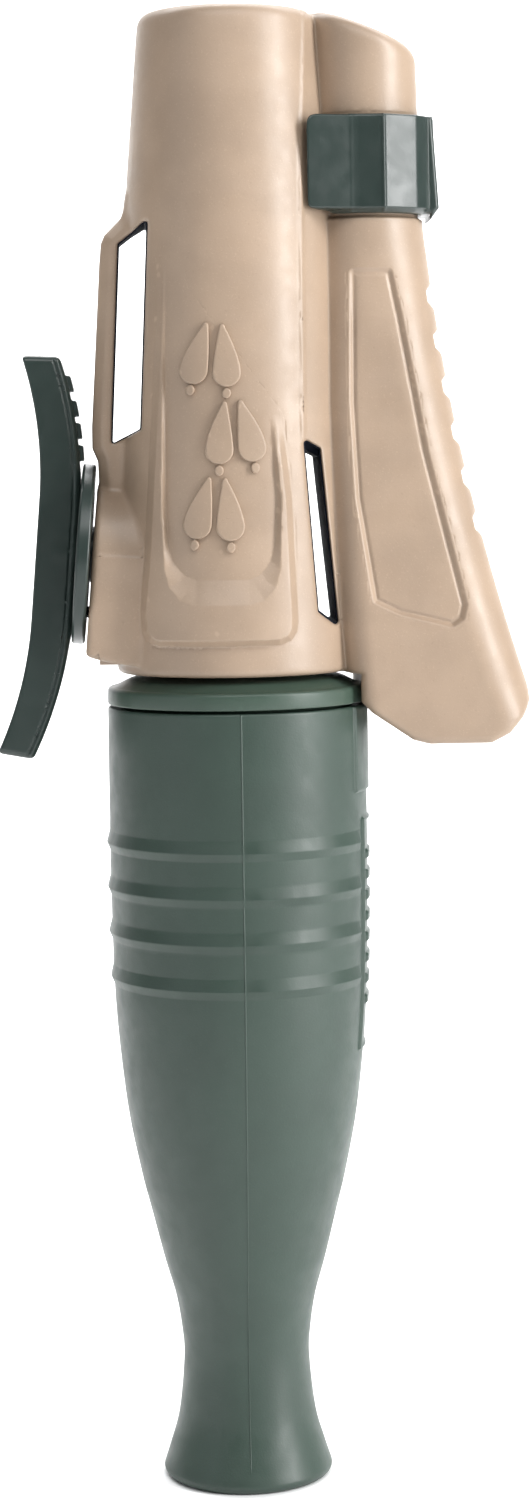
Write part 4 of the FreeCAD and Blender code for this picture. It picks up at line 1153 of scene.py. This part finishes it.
def area_light(name, spot, aim, size, power, colour=(1.0, 1.0, 1.0)):
    """Soft rectangular light that looks at a point."""
    data = bpy.data.lights.new(name, "AREA")
    data.shape = "RECTANGLE"
    data.size, data.size_y = size
    data.energy = power
    data.color = colour
    light = bpy.data.objects.new(name, data)
    look = (Vector(aim) - Vector(spot)).to_track_quat("-Z", "Y").to_matrix().to_4x4()
    light.matrix_world = Matrix.Translation(Vector(spot)) @ look
    bpy.context.scene.collection.objects.link(light)


def make_stage():
    """Pale floor that sweeps up into a backdrop."""
    sweep = [(-1.6, 0.0), (SWEEP_START, 0.0)]
    for a in np.linspace(0.1, math.pi / 2, 12):
        sweep.append((SWEEP_START + SWEEP_R * math.sin(a), SWEEP_R - SWEEP_R * math.cos(a)))
    sweep.append((SWEEP_START + SWEEP_R, 2.2))
    verts = [(x, y, z) for y, z in sweep for x in (-2.5, 2.5)]
    faces = [(2 * i, 2 * i + 1, 2 * i + 3, 2 * i + 2) for i in range(len(sweep) - 1)]
    mesh = bpy.data.meshes.new("floor")
    mesh.from_pydata(verts, [], faces)
    mesh.shade_smooth()
    floor = bpy.data.objects.new("floor", mesh)
    bpy.context.scene.collection.objects.link(floor)
    nodes = Nodes("floor_paper")
    cloud = nodes.ramp(nodes.noise(6.0), 0.3, 0.7)
    paper = nodes.mix(cloud, (0.93, 0.93, 0.935), (0.95, 0.95, 0.95))
    nodes.link(paper, nodes.shader.inputs["Base Color"])
    nodes.shader.inputs["Roughness"].default_value = 0.9
    mesh.materials.append(nodes.material)


def make_light():
    """Tall strong key at the right, soft box above the front, weak fill, lit backdrop, dim world."""
    middle = (0.0, 0.0, 0.13)
    area_light("key", (0.74, -0.40, 0.42), middle, (0.26, 0.8), 10.5)
    area_light("front", (0.0, -0.70, 0.86), middle, (0.9, 0.45), 4.6)
    area_light("fill", (-0.75, -0.5, 0.3), middle, (0.5, 0.7), 0.9, (0.9, 0.95, 1.0))
    area_light("backdrop", (0.0, 0.45, 1.0), (0.0, 1.0, 0.15), (1.6, 0.5), 27.0)
    world = bpy.data.worlds.new("studio")
    world.use_nodes = True
    world.node_tree.nodes["Background"].inputs["Color"].default_value = (0.93, 0.96, 1.0, 1.0)
    world.node_tree.nodes["Background"].inputs["Strength"].default_value = 0.12
    bpy.context.scene.world = world
    bpy.context.scene.view_settings.view_transform = "Standard"


# ------------ assembly
def add_moulded(name, field, node, body, slot, step, rounds=2):
    """Moulded piece that stands for a CAD node."""
    low, high = node_box(node)
    piece = mould(name, field, low - 1.0, high + 1.0, step, rounds)
    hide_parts(node)
    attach(piece, body)
    paint(piece, slot)
    return piece


def add_detail(name, field, low, high, body, slot, step, rounds=2):
    """Moulded piece that only the looks have."""
    piece = mould(name, field, low, high, step, rounds)
    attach(piece, body)
    paint(piece, slot)
    return piece


def main():
    """Build every piece, the stage, the light and the camera."""
    make_camera()
    make_stage()
    make_light()
    finish_cad_nodes()
    add_moulded("shell_front", front_field, "front_shell", "body", "tan_plastic", 0.7)
    add_moulded("shell_back", back_field, "back_shell", "body", "tan_plastic", 0.86)
    add_moulded("ring_moulded", ring_field, "wheeze_ring", "wheeze", "dark_green_plastic", 0.4)
    add_moulded("handle_moulded", handle_field, "dial_handle", "dial", "dark_green_plastic", 0.4)
    add_detail("front_frame", plinth_field, (-18.0, -22.5, 134.5), (11.5, -6.0, 201.5),
               "body", "tan_plastic", 0.42)
    add_detail("front_panel", front_panel_field, (16.5, -21.0, 136.5), (40.0, -5.0, 199.0),
               "body", "tan_plastic", 0.36)
    add_detail("back_panel", back_panel_field, (16.5, 5.0, 136.5), (40.0, 21.0, 199.0),
               "body", "tan_plastic", 0.42)
    add_detail("front_tracks", tracks_field, (-9.5, -19.5, 149.0), (6.5, -15.0, 190.0),
               "body", "tan_plastic", 0.3)
    # Dark sleeves that paint the shade inside both slots.
    add_detail("slot_shade_left", slot_shade_field, (-21.0, -14.0, 168.0), (-12.5, 14.0, 207.0),
               "body", "liner_plastic", 0.33, 1)
    add_detail("slot_shade_right", slot_shade_field, (10.0, -14.0, 138.0), (17.5, 14.0, 171.0),
               "body", "liner_plastic", 0.33, 1)
    paint(make_bell(), "bell_rubber")
    paint(make_collar(), "collar_plastic")


main()
